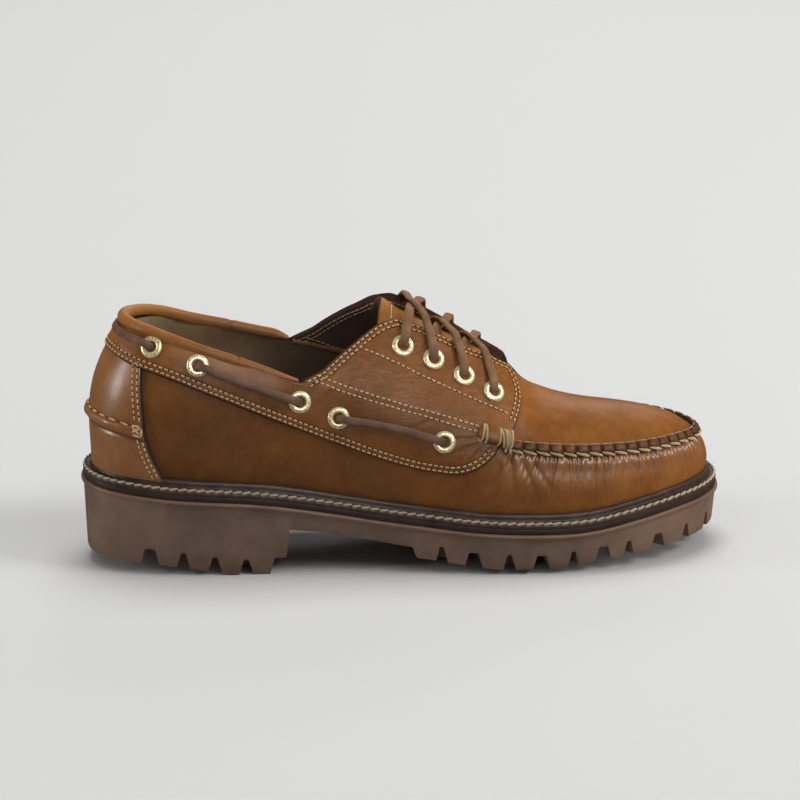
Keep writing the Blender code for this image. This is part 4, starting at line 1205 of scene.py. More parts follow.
def make_upper():
    split = TOP.turn_at(WALL_SPLIT)
    back = np.linspace(-split, split, WALL_BACK_COLUMNS)[1:-1]
    turns = np.concatenate([toe_columns(WALL_SPLIT, WALL_COLUMN), math.tau + back])
    levels = two_runs(WALL_LEVELS, WALL_ROWS)
    t, v = grid(turns, levels)
    below = wall_drop(t, v)
    plain = raw_skin(t, v)
    station = plain[..., 0]
    gather = gathers(t, below)
    front = ramp(station, *GATHER_FRONT)
    bulge = WALL_BULGE * front * (1 - TOE_FLAT * ramp(station, *TOE_EASE))
    relief = GATHER_DEPTH * gather + ripple(plain, *WALL_WAVE)
    relief = relief + knot_folds(plain) + bulge * bell(below - BULGE_DROP, BULGE_RUN)
    # Painted light on the toe wall: pleat ridges below the seam painted paler as a highlight, their valleys
    # darker as shade
    tone = front * bell(below, PLEAT_HIGHLIGHT_RUN) * (PLEAT_HIGHLIGHT_TONE + PLEAT_SHADE_TONE * gather)
    # Painted shade: the wall is darker towards its foot and on the quarter
    tone = tone - FOOT_SHADE * np.clip(1 - v / FOOT_LEVEL, 0, 1) ** FOOT_POWER
    tone = tone + ripple(plain, *WALL_MOTTLE) - QUARTER_DARK * share_of(station, *QUARTER_SHADE)
    fields = {"tone": tone, "edge": 0.0, "wax": front * bell(below, WAX_RUN)}
    grid_piece("upper_wall", skin(t, v, relief), LEATHER, "upper_leather", "upper", wrap=True, **fields)


def fold_axes(plain, row):
    """Distances along and across a fold that starts at the row's station and height."""
    spot = plain[..., [0, 2]] - np.array([row.x, row.z])
    direction = np.array([math.cos(row.angle), math.sin(row.angle)])
    return spot @ direction, spot @ np.array([-direction[1], direction[0]])


def knot_folds(plain):
    """Soft folds that run down and back from the bound end of the seam on each side."""
    fold = np.zeros(plain.shape[:-1])
    for row in KNOT_FOLDS:
        along, across = fold_axes(plain, row)
        run = bell(along, row.reach) / (1 + np.exp(-1.5 * along))
        fold -= row.depth * run * bell(across, row.width)
    return fold


def flap_reach(turns):
    """How far the upper's top goes from the seam towards the crown line, for turns from 0 up."""
    return 1 - throat_share(np.where(turns < math.pi, 1, -1), TOP.at(turns)[0])


def make_plug():
    turns = front_columns(COLLAR_FRONT, *PLUG_COLUMNS, PLUG_SPLIT)
    reach = flap_reach(turns)
    t, r = grid(turns, two_runs(PLUG_LEVELS, PLUG_ROWS))
    v = 1 + r * reach[:, None]
    plain = raw_skin(t, v)
    rise = np.linalg.norm(plain - raw_skin(t, 1.0), axis=-1)
    pleat = np.cos(math.tau * seam_place(t) / SEAM_PITCH)
    front = share_of(plain[..., 0], *PLUG_FRONT)
    roll = PLUG_ROLL * bell(rise, PLUG_ROLL_RUN) + PLUG_PLEAT * pleat * bell(rise, PLUG_PLEAT_RUN)
    relief = front * roll + ripple(plain, *PLUG_WAVE)
    tone = PLUG_TONE + ripple(plain, *PLUG_MOTTLE) - CREASE_SHADE * bell(rise, CREASE_SHADE_RUN) * front
    tone = tone - PLUG_SHADE * np.exp(-np.abs(rise) / PLUG_SHADE_RUN) * front
    top = skin(t, v, relief + flap_lift(t, v))
    spine = np.isclose(v, 2.0)
    top[spine, 1] = smooth(TOP_LINE, "centre", top[spine, 0])
    skirt = skin(turns, v[:, -1], flap_lift(turns, v[:, -1]) - UPPER_WALL)
    open_edge = reach < 0.999
    skirt[~open_edge] = top[~open_edge, -1]
    points = np.concatenate([top, skirt[:, None, :]], axis=1)
    tone = np.concatenate([tone, tone[:, -1:]], axis=1)
    edge = np.zeros(tone.shape)
    edge[open_edge, -2:] = 1.0
    grid_piece("upper_top", points, LEATHER, "upper_leather", "upper", tone=tone, edge=edge)


def make_lining():
    """Inside faces of the upper: pale heel lining under the collar, darker lining in front and on the flaps.
    """
    end = TOP.turn_at(LINING_FRONT)
    heel = np.linspace(-end, end, LINING_COLUMNS[0])
    front = np.linspace(end, math.tau - end, LINING_COLUMNS[1])
    for name, turns, material in (("lining_heel", heel, LINING_PALE), ("lining_front", front, LINING_DARK)):
        t, v = grid(turns, np.linspace(LINING_FOOT, 1.0, LINING_ROWS))
        plain = raw_skin(t, v)
        points = skin(t, v, -UPPER_WALL - LINING_DEPTH + ripple(plain, *LINING_WAVE))
        # Painted shade: the lining darkens deep inside the shoe, towards the toe and down towards the
        # footbed
        tone = -LINING_TOE_SHADE * ramp(plain[..., 0], *LINING_SHADE)
        tone = tone - LINING_FOOT_SHADE * ramp(1 - v, *LINING_FOOT_SHADE_RUN)
        grid_piece(name, points, material, "lining_leather", "upper", flip=True, tone=tone)
    turns = front_columns(COLLAR_FRONT, *FLAP_COLUMNS, PLUG_SPLIT)
    t, r = grid(turns, np.linspace(0, 1, FLAP_ROWS))
    v = 1 + r * flap_reach(turns)[:, None]
    points = skin(t, v, flap_lift(t, v) - UPPER_WALL)
    grid_piece("lining_flaps", points, LINING_DARK, "lining_leather", "upper", flip=True, tone=0.0)
    tapes = []
    for side in (-1, 1):
        ends = TOP.turn_at(COLLAR_FRONT + TAPE_BACK), TOP.turn_at(TAPE_FRONT)
        turns = side * np.linspace(*ends, TAPE_COLUMNS)
        levels = 1.0 + ripple(raw_skin(turns, 1.0), *TAPE_WAVE)
        route = skin(turns, levels, -UPPER_WALL - TAPE_DEPTH)
        tapes.append(sweep(route, skin_normal(turns, 0.99), *TAPE_HALF, TAPE_SIDES))
    add_piece("lining_tape", joined("lining_tape", tapes), TAPE, "lining_leather", "upper")


def saddle_spot(along, up, side):
    """Turn and level on the saddle: along from the heel to the front edge, up from its foot to its top."""
    along, up = np.broadcast_arrays(np.asarray(along, float), np.asarray(up, float))
    turn = along * TOP.turn_at(smooth(SADDLE_FRONT, "front", up))
    station = TOP.at(turn)[0]
    open_share = throat_share(side, np.minimum(station, SADDLE_FRONT[-1].front))
    foot = level_at(side * turn, smooth(SADDLE_FOOT, "z", station))
    wall = foot + (1 - foot) * share_of(up, 0, SEAM_SHARE)
    top = (1 - open_share) * share_of(up, SEAM_SHARE, 1)
    return side * turn, wall + top


def flare(x):
    """Extra lift of the eyestay's front end, where it stands off the plug."""
    return FRONT_FLARE * share_of(x, FLARE_START, FLARE_START + FLARE_RUN)


def flap_lift(turns, levels):
    """How far the medial eyestay stands up towards its free edge."""
    x = TOP.at(turns)[0]
    along = ramp(x, *FLAP_BACK) * (1 - ramp(x, *FLAP_FRONT))
    return FLAP_RISE * (np.sin(turns) > 0) * along * ramp(levels, *FLAP_LEVELS)


def band_lean(turns):
    """How far the band's top leans in under the collar roll."""
    x = TOP.at(turns)[0]
    return BAND_LEAN * ramp(x, *BAND_BACK) * (1 - ramp(x, *BAND_FRONT))


def panel_top(turns, levels=1.0):
    """Lift of a panel's outer face."""
    wave = ripple(raw_skin(turns, levels), *SADDLE_WAVE)
    wave = wave - band_lean(turns) * ramp(levels, 0.88, 1.0) * (np.asarray(levels) <= 1.0001)
    heel = bell(np.sin(turns), 0.35) * (np.cos(turns) > 0)
    wave = wave + BAND_SWELL * heel * (1 - ramp(levels, 0.94, 1.0))
    return PANEL_FACE + flare(TOP.at(turns)[0]) + flap_lift(turns, levels) + wave


def lining_face(turns, levels):
    """Lift of the lining's face."""
    return flap_lift(turns, levels) - UPPER_WALL - LINING_STITCH_DEPTH


def inner_line(turns, levels, distance):
    """Line at a distance inside another, without the loops that its corners would leave."""
    t, v = offset_line(turns, levels, distance)
    keep = nearest(raw_skin(t, v), raw_skin(turns, levels)) > 0.95 * abs(distance)
    return t[keep], v[keep]


def saddle_lines(side):
    """Stitch lines on one side of the saddle, as (turns, levels) by name."""
    lines = {}
    along = np.linspace(0.0, 1.0, 260)
    foot = saddle_spot(along, 0.0, side)
    up = np.linspace(1.0, 0.52, 70)
    start = TOP.turn_at(COLLAR_FRONT + THROAT_ROW_BACK) / TOP.turn_at(SADDLE_FRONT[-1].front)
    throat = saddle_spot(np.linspace(start, 1.0, 180), 1.0, side)
    front = saddle_spot(1.0, up, side)
    edge = np.concatenate([throat[0], front[0][1:]]), np.concatenate([throat[1], front[1][1:]])
    for number, distance in enumerate(ROW_DISTANCE):
        lines[f"foot_{number}"] = offset_line(*foot, side * distance)
        lines[f"edge_{number}"] = inner_line(*edge, -side * distance)
        spread = (number - 0.5) * ROW_GAP
        double = side * TOP.turn_at(column(DOUBLE_LINE, "x")), column(DOUBLE_LINE, "level")
        lines[f"double_{number}"] = offset_line(*double, -side * spread)
    lines["single"] = side * TOP.turn_at(column(SINGLE_LINE, "x")), column(SINGLE_LINE, "level")
    return lines


def eyelet_spots():
    """Name, turn and level of each eyelet."""
    spots = []
    for side, side_name in ((-1, "lateral"), (1, "medial")):
        for spot in COLLAR_EYELETS:
            turn = side * float(TOP.turn_at(spot.x))
            spots.append((f"eyelet_{spot.name}_{side_name}", turn, float(level_at(-abs(turn), spot.z))))
        for spot in THROAT_EYELETS:
            turn = side * float(TOP.turn_at(spot.x))
            spots.append((f"eyelet_{spot.name}_{side_name}", turn, 2 - spot.share))
    return spots


def nearest(points, targets):
    """Distance from each point to the nearest target."""
    tree = KDTree(len(targets))
    for i, target in enumerate(targets):
        tree.insert(target, i)
    tree.balance()
    flat = points.reshape(-1, 3)
    return np.array([tree.find(p)[2] for p in flat]).reshape(points.shape[:-1])


def rounded(distance, radius):
    """Share of a panel's full height at a distance from its edge."""
    return np.sqrt(np.maximum(1 - (1 - np.clip(distance / radius, 0, 1)) ** 2, 0))


def panel(node, turns, levels, outline, high, relief, tone, crumple=0.0, wax=0.0):
    """Leather of a panel, its edges rounded down to the wall; outline is the points of its edge."""
    inside = np.maximum(nearest(raw_skin(turns, levels), outline) - EDGE_SLACK, 0)
    foot = flap_lift(turns, levels) + PANEL_FOOT
    lift = foot + (high - foot) * rounded(inside, PANEL_ROUND) + relief * np.clip(inside / 2.0, 0, 1)
    # Dark band along the panel's edge: partly the raw edge's own colour, partly painted shade for the shadow
    # at the panel's step
    edge = np.clip((PANEL_EDGE - inside) / 0.5, 0, 1)
    fields = {"tone": tone, "edge": edge, "crumple": crumple, "wax": wax}
    grid_piece(node + "_leather", skin(turns, levels, lift), LEATHER, "upper_leather", node, **fields)


def saddle_outline():
    """Points of the saddle's edge; the collar's top joins the roll, so it is left out."""
    points = []
    for side in (-1, 1):
        points.append(raw_skin(*saddle_spot(np.linspace(0, 1, 2400), 0.0, side)))
        points.append(raw_skin(*saddle_spot(1.0, np.linspace(0, 1, 900), side)))
        start = TOP.turn_at(COLLAR_FRONT - THROAT_EDGE_BACK) / TOP.turn_at(SADDLE_FRONT[-1].front)
        points.append(raw_skin(*saddle_spot(np.linspace(start, 1, 1800), 1.0, side)))
    return np.concatenate(points)


def make_saddle():
    back = np.linspace(0, 1 - SADDLE_END, SADDLE_COLUMNS[0])
    along = np.concatenate([back, 1 - SADDLE_END * np.linspace(1, 0, SADDLE_COLUMNS[1])[1:] ** 1.6])
    up = 0.5 - 0.5 * np.cos(math.pi * np.linspace(0, 1, SADDLE_ROWS))
    a, u = grid(along, up)
    sides = [saddle_spot(a, u, side) for side in (-1, 1)]
    turns = np.concatenate([sides[0][0][::-1], sides[1][0][1:]])
    levels = np.concatenate([sides[0][1][::-1], sides[1][1][1:]])
    plain = raw_skin(turns, levels)
    station = plain[..., 0]
    rows = [raw_skin(*line) for side in (-1, 1) for line in saddle_lines(side).values()]
    groove = bell(nearest(plain, np.concatenate(rows)), STITCH_GROOVE)
    rings = np.array([raw_skin(t, v) for _, t, v in eyelet_spots()])
    pucker = bell(nearest(plain, rings), PUCKER_RUN)
    crease = panel_creases(plain)
    relief = crease - GROOVE_DEPTH * groove - PUCKER_DEPTH * pucker
    tone = ripple(plain, *SADDLE_MOTTLE) - GROOVE_SHADE * groove - PUCKER_SHADE * pucker
    # Painted light on the eyestay creases: ridges paler as a highlight, valleys darker as shade
    tone = tone + CREASE_LIGHT_AND_SHADE * np.clip(crease, *CREASE_CLIP)
    # Painted light: the eyestay's top, where it faces up, is painted paler
    tone = tone + FLAP_PAINTED_LIGHT * np.clip(levels - FLAP_LIGHT_LEVEL, 0, 0.5) - SADDLE_DIM
    # Painted light: the band near the heel is painted paler, most at its top under the roll
    band = BAND_PAINTED_LIGHT + BAND_TOP_PAINTED_LIGHT * ramp(levels, *BAND_LEVELS)
    tone = tone + ramp(-station, *BAND_LIGHT_RUN) * band
    crumple = CRUMPLE_WALL + (1 - CRUMPLE_WALL) * share_of(levels, *CRUMPLE_LEVELS)
    crumple = share_of(station, *CRUMPLE_BACK) * crumple
    high = panel_top(turns, levels)
    panel("saddle", turns, levels, saddle_outline(), high, relief, tone, crumple)


def panel_creases(plain):
    """Creases of the eyestay, each a valley with a low ridge beside it."""
    lift = np.zeros(plain.shape[:-1])
    for row in SADDLE_CREASES:
        along, across = fold_axes(plain, row)
        across = across + 0.08 * along * np.sin(along * 0.5)
        ridge = bell(across - row.width, row.width) * 0.6 - bell(across, row.width)
        lift += row.depth * bell(along, row.reach) * ridge
    return lift


def heel_grid(low, high, rows, columns):
    """Grid of turns and levels round the heel between two level functions of the turn."""
    across = np.sin(np.linspace(-1, 1, columns) * math.pi / 2)
    up = 0.5 - 0.5 * np.cos(math.pi * np.linspace(0, 1, rows))
    guess = np.abs(across) * 0.5
    levels = low(guess)[:, None] + (high(guess) - low(guess))[:, None] * up[None, :]
    return across[:, None] * smooth(HEEL_REACH, "turn", levels), levels


def ridge_level(turn):
    return smooth(HEEL_RIDGE, "level", np.abs(turn))


def counter_top(turn):
    return level_at(-turn, smooth(SADDLE_FOOT, "z", TOP.at(turn)[0])) + 0.01


def foxing_foot(turn):
    return level_at(-turn, foot_line(turn)[2] + WELT_THICK)


def panel_sides(turns, levels):
    """Points of a grid's two end columns."""
    return np.concatenate([raw_skin(turns[0], levels[0]), raw_skin(turns[-1], levels[-1])])


def make_heel_panels():
    turns, levels = heel_grid(lambda t: ridge_level(t) - 0.01, counter_top, *COUNTER_GRID)
    plain = raw_skin(turns, levels)
    relief = ripple(plain, *COUNTER_WAVE)
    # Painted light: the heel counter is painted paler
    tone = COUNTER_PAINTED_LIGHT + ripple(plain, *COUNTER_MOTTLE)
    sides = panel_sides(turns, levels)
    panel("heel_counter", turns, levels, sides, PANEL_FACE, relief, tone, wax=COUNTER_WAX)
    turns, levels = heel_grid(foxing_foot, ridge_level, *FOXING_GRID)
    plain = raw_skin(turns, levels)
    drop = np.linalg.norm(plain - raw_skin(turns[:, -1:], levels[:, -1:]), axis=-1)
    fade = 1 - RIDGE_LOSS * ramp(np.abs(turns), *RIDGE_FADE)
    ridge = fade * HEEL_RIDGE_RISE * bell(np.abs(drop - RIDGE_DROP), RIDGE_HALF, 3)
    crimp = np.cos(math.tau * turns * CRIMP_RADIUS / SEAM_PITCH + ripple(plain, *CRIMP_WAVE))
    groove = RIDGE_GROOVE_DEPTH * bell(drop - RIDGE_DROP - RIDGE_GROOVE, RIDGE_GROOVE_HALF)
    relief = ridge * (1 + CRIMP_DEPTH * crimp) - groove + ripple(plain, *FOXING_WAVE)
    # Painted shadow in the groove under the heel ridge
    shaded = RIDGE_PAINTED_SHADOW * bell(drop - RIDGE_DROP - RIDGE_SHADE, RIDGE_SHADE_HALF)
    # Painted light: the foxing is painted paler, as the counter is
    tone = FOXING_PAINTED_LIGHT + ripple(plain, *FOXING_MOTTLE) - shaded
    tone = tone - RIDGE_TOP_DARK * bell(drop, RIDGE_TOP_RUN)
    sides = panel_sides(turns, levels)
    panel("heel_foxing", turns, levels, sides, PANEL_FACE, relief, tone, wax=FOXING_WAX)


def make_collar_roll():
    """Padded roll on the topline, full at the heel and flush with the band in front."""
    end = TOP.turn_at(COLLAR_FRONT - ROLL_SHORT)
    turns = np.linspace(-end, end, ROLL_COLUMNS)
    line = np.stack(top_line(turns), 1)
    x = line[:, 0]
    full = ramp(-x, *ROLL_FULL)[:, None]
    outer = (PANEL_FACE + ROLL_OUT - band_lean(turns))[:, None]
    inner = -UPPER_WALL - ROLL_IN
    half = (outer - inner) / 2
    share = np.linspace(0, 1, ROLL_ROWS)
    angle = (ROLL_OPEN[0] + ROLL_OPEN[1] * full) * (2 * share - 1) + math.pi * share
    wide = (outer + inner) / 2 + (half + ROLL_SWELL * full) * np.cos(angle)
    run = np.where(turns < 0, *ROLL_TAPER)
    taper = np.sin(np.clip((COLLAR_FRONT - x) / run, 0, 1) * math.pi / 2)
    taper = (ROLL_TIP + (1 - ROLL_TIP) * taper)[:, None]
    height = taper * (2 * smooth(ROLL_SIZE, "radius", x)[:, None] - ROLL_SINK * full + ROLL_LIFT)
    flat = height * np.sin(angle)
    tube = height + (half + ROLL_SWELL) * (np.sin(angle) - 1)
    tall = flat + (tube - flat) * full + ripple(line, *ROLL_WAVE)[:, None]
    seam = bell(x - ROLL_SEAM, ROLL_SEAM_HALF)[:, None]
    tall = tall * (1 - ROLL_SEAM_DEPTH * seam)
    points = line[:, None, :] + upright(TOP, turns)[:, None, :] * wide[..., None]
    points[..., 2] += tall
    # Painted light: the roll is painted paler, more on the medial side than on the lateral side
    far = ROLL_PAINTED_LIGHT[0] + (ROLL_PAINTED_LIGHT[1] - ROLL_PAINTED_LIGHT[0]) * ramp(turns, -0.5, 0.5)[:, None]
    tone = np.broadcast_to(far - ROLL_SEAM_DARK * seam + ROLL_HEEL_TONE * full, wide.shape)
    fields = {"tone": tone, "edge": 0.0}
    grid_piece("collar_roll_leather", points, LEATHER, "upper_leather", "collar_roll", **fields)


def seam_frame(turns):
    """Crease points with directions: along it, out of it and towards the plug."""
    crease = raw_skin(turns, 1.0)
    out = unit(skin_normal(turns, 1.001) + skin_normal(turns, 0.99))
    along = unit(np.gradient(crease, axis=0))
    plug = unit(raw_skin(turns, 1.06) - raw_skin(turns, 0.94))
    return crease, along, out, square(plug, out)


def seam_turns(pitch, back_x):
    start = TOP.turn_at(back_x)
    fine = np.linspace(start, math.tau - start, 2400)
    length = path_length(raw_skin(fine, 1.0))
    count = int(round(length[-1] / pitch))
    return np.interp(middles(length[-1], count), length, fine)


def beads(name, places, axes, sizes, power=2.6, rows=9, columns=14):
    """Rounded beads as one mesh; axes are three directions for each, sizes three half sizes."""
    lat = np.linspace(-math.pi / 2, math.pi / 2, rows)
    lon = np.linspace(0, math.tau, columns, endpoint=False)

    def bulge(values):
        return np.sign(values) * np.abs(values) ** (2 / power)

    u = bulge(np.sin(lat))[:, None] + 0 * lon
    v = bulge(np.cos(lat))[:, None] * bulge(np.cos(lon))
    w = bulge(np.cos(lat))[:, None] * bulge(np.sin(lon))
    shape = np.stack([u, v, w], -1).reshape(-1, 3)
    local = shape[None] * sizes[:, None, :]
    points = places[:, None, :] + np.einsum("nki,nij->nkj", local, axes)
    count, each = points.shape[:2]
    quads = copies(tube_quads(rows, columns), count, each)
    crown = np.clip(shape[:, 2], -1, 1)
    # Painted light on each bead: the side facing out is painted paler as a highlight, the side towards the
    # wall darker as shade
    tone = np.tile(0.35 * crown - 0.15, count) + np.repeat(ripple(places, *BEAD_MOTTLE), each)
    return surface(name, points, quads, tone=tone, edge=np.tile(np.clip(-crown, 0, 1), count))


def make_moc_seam(thread):
    rng = np.random.default_rng(5)
    turns = seam_turns(SEAM_PITCH, KNOT_FRONT - BEAD_BACK)
    crease, along, out, plug = seam_frame(turns)
    count = len(turns)
    lean = unit(along + plug * rng.normal(0.12, 0.06, (count, 1)))
    axes = np.stack([lean, square(plug, lean), out], 1)
    sizes = rng.normal(BEAD_SIZE, BEAD_SPREAD, (count, 3))
    mesh = beads("seam_pleats", crease + out * BEAD_OUT + plug * BEAD_IN, axes, sizes, 3.0)
    add_piece("seam_pleats", mesh, SEAM_LEATHER, "upper_leather", "moc_seam")
    back = TOP.turn_at(KNOT_FRONT - CORE_BACK)
    c, _, o, p = seam_frame(np.linspace(back, math.tau - back, 500))
    # Painted shade: the nearly black core fills the gaps between the beads, where shade falls
    core = sweep(c + o * CORE_PLACE + p * CORE_PLACE, o, *CORE_HALF)
    add_piece("seam_core", joined("seam_core", [core]), GAP_SHADE_LEATHER, "upper_leather", "moc_seam")
    low = unit(along + plug * 0.2 + out * 0.06)
    places = crease + out * LOW_THREAD_OUT - plug * LOW_THREAD_DOWN
    thread.add(places, low, out, SEAM_PITCH * 1.12, LOW_THREAD_RADIUS, flat=0.85, sink=0.3)
    places = crease + out * HIGH_THREAD_OUT + plug * HIGH_THREAD_UP
    thread.add(places, along, out, SEAM_PITCH * 0.9, HIGH_THREAD_RADIUS, flat=0.8, sink=0.4)


def make_knots(thread):
    """Bound roll at each end of the seam, wrapped with thread."""
    rng = np.random.default_rng(8)
    rolls = []
    share = np.linspace(0, 1, KNOT_STEPS)
    waist = 1.0
    for wrap in KNOT_WRAPS:
        waist = waist - KNOT_PINCH * bell(share - wrap, 0.05)
    swell = np.sqrt(np.maximum(1 - np.abs(2 * share - 1) ** 7, 0.02)) * waist
    for side in (-1, 1):
        back, front = (side * TOP.turn_at(x) for x in KNOT_ENDS)
        turns = np.linspace(back, front, KNOT_STEPS)
        crease, along, out, plug = seam_frame(turns)
        lift = panel_top(turns)[:, None] + KNOT_THICK * 0.7
        centre = crease + out * lift + plug * (KNOT_RISE + KNOT_TILT * share)[:, None]
        rolls.append(sweep(centre, out, KNOT_HALF * swell, KNOT_THICK * swell, 28, 2.9))
        for wrap in KNOT_WRAPS:
            i = int(wrap * (KNOT_STEPS - 1))
            ring = np.linspace(-WRAP_ANGLE, math.pi + WRAP_ANGLE, WRAP_STEPS)[:, None]
            slant, loose = rng.normal(0, WRAP_SLANT), rng.uniform(*WRAP_LOOSE)
            across = np.cos(ring) * plug[i] * (KNOT_HALF + loose)
            rise = np.sin(ring) * out[i] * (KNOT_THICK + loose)
            places = centre[i] + across + rise + along[i] * np.linspace(-slant, slant, WRAP_STEPS)[:, None]
            normal = np.cos(ring) * plug[i] + np.sin(ring) * out[i]
            size = WRAP_STITCH, rng.uniform(*WRAP_RADIUS)
            thread.add(places, np.gradient(places, axis=0), normal, *size, flat=0.9, sink=0.0)
        stub = int(KNOT_WRAPS[-2] * (KNOT_STEPS - 1))
        foot = centre[stub] - plug[stub] * (KNOT_HALF + STUB_DOWN) - out[stub] * STUB_SUNK
        for step in STUB_STEPS:
            lean = -plug[stub] + along[stub] * 0.3 * step
            place = foot[None] + along[stub] * step
            thread.add(place, lean[None], out[stub][None], *STUB_SIZE, flat=0.9, sink=0.0)
    add_piece("seam_rolls", joined("seam_rolls", rolls), LEATHER, "upper_leather", "moc_seam")


def make_stitches():
    thread, holes = Threads(), Threads()
    for side in (-1, 1):
        for name, (turns, levels) in saddle_lines(side).items():
            stitched(thread, holes, turns, levels, panel_top)
            if name.startswith(("edge", "double")):
                thread.row(turns, levels, lining_face, STITCH_PITCH, *LINING_STITCH, inside=True)
        levels = np.linspace(0.11, 0.84, 120)
        edge = side * smooth(HEEL_REACH, "turn", levels), levels
        for distance in COUNTER_ROWS:
            turns, levels = offset_line(*edge, side * distance)
            ridge = ridge_level(turns)
            for part in (levels > ridge + 0.04, levels < ridge - 0.07):
                stitched(thread, holes, turns[part], levels[part], PANEL_FACE + STITCH_LIFT)
        for row in TACKS:
            turns = side * np.linspace(row.turn, row.end_turn, 3)
            levels = np.linspace(row.level, row.end_level, 3)
            places = skin(turns, levels, PANEL_FACE + TACK_LIFT)
            along = places[2:] - places[:1]
            length = float(np.linalg.norm(along))
            normal = skin_normal(turns, levels)[1:2]
            thread.add(places[1:2], along, normal, length, TACK_RADIUS, flat=0.8, sink=0.3)
    turns = np.linspace(-0.47, 0.47, 120)
    thread.row(turns, ridge_level(turns) + 0.002, PANEL_FACE + TACK_LIFT, SEAM_PITCH, *RIDGE_STITCH)
    return thread, holes


def stitched(thread, holes, turns, levels, lift):
    """Row of stitches with a dark needle hole in each gap."""
    size = STITCH_PITCH, STITCH_PITCH * 0.8, STITCH_RADIUS
    places, along, normal = thread.row(turns, levels, lift, *size)
    # Painted shade: a dark matte blob in each gap stands for the shade inside the needle hole
    middle = (places[1:] + places[:-1]) / 2 - normal[1:] * HOLE_DEPTH
    holes.add(middle, along[1:], normal[1:], *HOLE_SIZE, flat=0.5, sink=0.0)


def make_eyelets():
    """Rolled brass rings with a barrel, joined into one mesh."""
    profile = np.array([(row.radius, row.height) for row in EYELET_PROFILE])
    at = path_length(np.pad(profile, ((0, 0), (0, 1))))
    fine = np.linspace(0, at[-1], EYELET_ROWS)
    radius, height = (hermite(at, profile[:, k].copy(), fine) for k in (0, 1))
    face = bell(radius - MARK_RADIUS, 0.5, 4) * (height > 0.4)
    angle = np.linspace(0, math.tau, EYELET_SIDES, endpoint=False)
    rng = np.random.default_rng(4)
    points, marks = [], []
    for _, turn, level in eyelet_spots():
        normal = skin_normal(turn, level)
        side = unit(np.cross(normal, [0.0, 0.0, 1.0]))
        up = np.cross(side, normal)
        base = skin(turn, level, float(panel_top(turn, level)) - EYELET_SUNK)
        ring = np.cos(angle)[:, None] * side + np.sin(angle)[:, None] * up
        points.append(base + radius[None, :, None] * ring[:, None, :] + height[None, :, None] * normal)
        broad, narrow = (np.sin(angle * waves + rng.uniform(0, 6)) for waves in MARK_WAVES)
        marks.append((broad + 0.8 * narrow > 0.75)[:, None] * face[None, :])
    each = EYELET_SIDES * EYELET_ROWS
    quads = copies(grid_quads(EYELET_SIDES, EYELET_ROWS, wrap=True), len(points), each)
    mesh = surface("eyelet_rings", np.stack(points), quads, mark=np.stack(marks))
    add_piece("eyelet_rings", mesh, BRASS, "eyelet_brass", *[name for name, _, _ in eyelet_spots()])


def strand(turns, levels, lifts, count=90):
    """Lace along surface spots, with its flat side to the surface."""
    turns, levels, lifts = (np.asarray(v, float) for v in (turns, levels, lifts))
    knots = skin(turns, levels, lifts)
    normals = skin_normal(turns, levels)
    route = spline(knots, count)
    at = path_length(knots)
    where = np.linspace(0, at[-1], count)
    ups = np.stack([np.interp(where, at, normals[:, k]) for k in range(3)], 1)
    return route, ups


def lace_between(a, b, bow, climb=0.0):
    """Run outside between two eyelet spots, down through both rings."""
    shares = column(LACE_RUN, "share")
    lifts = column(LACE_RUN, "lift") + bow * np.sin(math.pi * shares)
    turns = a[0] + (b[0] - a[0]) * shares
    levels = a[1] + (b[1] - a[1]) * shares + climb * np.sin(math.pi * np.clip(shares, 0, 1)) ** 0.7
    return strand(turns, levels, lifts, 140)


def make_laces():
    spots = {name: (turn, level) for name, turn, level in eyelet_spots()}
    parts = []
    for side in ("lateral", "medial"):
        for a, b in ((2, 3), (4, 5)):
            ends = spots[f"eyelet_collar_{a}_{side}"], spots[f"eyelet_collar_{b}_{side}"]
            parts.append(lace_between(*ends, SIDE_LACE_BOW))
    heel = spots["eyelet_collar_1_lateral"], spots["eyelet_collar_1_medial"]
    parts.append(lace_between(*heel, HEEL_LACE_BOW, HEEL_LACE_CLIMB))
    names = [f"lace_side_{n}_{s}" for n in (1, 2) for s in ("lateral", "medial")] + ["lace_heel"]
    mesh = joined("side_laces", [sweep(*part, *SIDE_LACE_HALF, seed=i) for i, part in enumerate(parts)])
    add_piece("side_laces", mesh, SIDE_RAWHIDE, "lace_leather", *names)
    parts = []
    for low, high in ((3, 2), (2, 1), (1, 0)):
        for side in (-1, 1):
            parts.append(crossing(THROAT_EYELETS[low], THROAT_EYELETS[high], side, high == 0))
    mesh = joined("throat_laces", [sweep(*part, *LACE_HALF, seed=9 + i) for i, part in enumerate(parts)])
    add_piece("throat_laces", mesh, RAWHIDE, "lace_leather", *[f"lace_crossing_{n}" for n in (1, 2, 3)])


def crossing(low, high, side, top):
    """Strand out of an eyelet and over the tongue: the top one to its eyelet, others under the far flap."""
    rows = CROSS_TOP if top else CROSS_LATERAL if side < 0 else CROSS_MEDIAL
    way, lifts = column(rows, "way"), column(rows, "lift")
    share = low.share + (-high.share - low.share) * way
    station = low.x + (high.x - low.x) * way
    turns = side * TOP.turn_at(station) * np.where(share < 0, -1, 1)
    levels = 2 - np.abs(share)
    on_flap = ramp(side * share, 0.1, 0.36) * (top or side > 0)
    overlap = CROSS_OVERLAP * -side * bell(share, 0.22)
    return strand(turns, levels, lifts + flap_lift(turns, levels) * on_flap + overlap, 130)


def tongue_top(turns, levels):
    """Lift of the tongue's outer face: up at its free end, sunk under the laces."""
    x, share = TOP.at(turns)[0], 2 - levels
    slot = np.maximum(throat_share(-1, np.maximum(x, THROAT[4].x)), 0.1)
    sunk = ramp(x, *TONGUE_DIP)
    rise = TONGUE_REAR * (1 - sunk) + TONGUE_SUNK * sunk * (1 - ramp(x, *TONGUE_TIP))
    wave = ripple(raw_skin(turns, levels), *TONGUE_WAVE)
    return wave + rise * np.clip(1 - (share / slot) ** 2, 0, 1) - UPPER_WALL - TONGUE_GAP


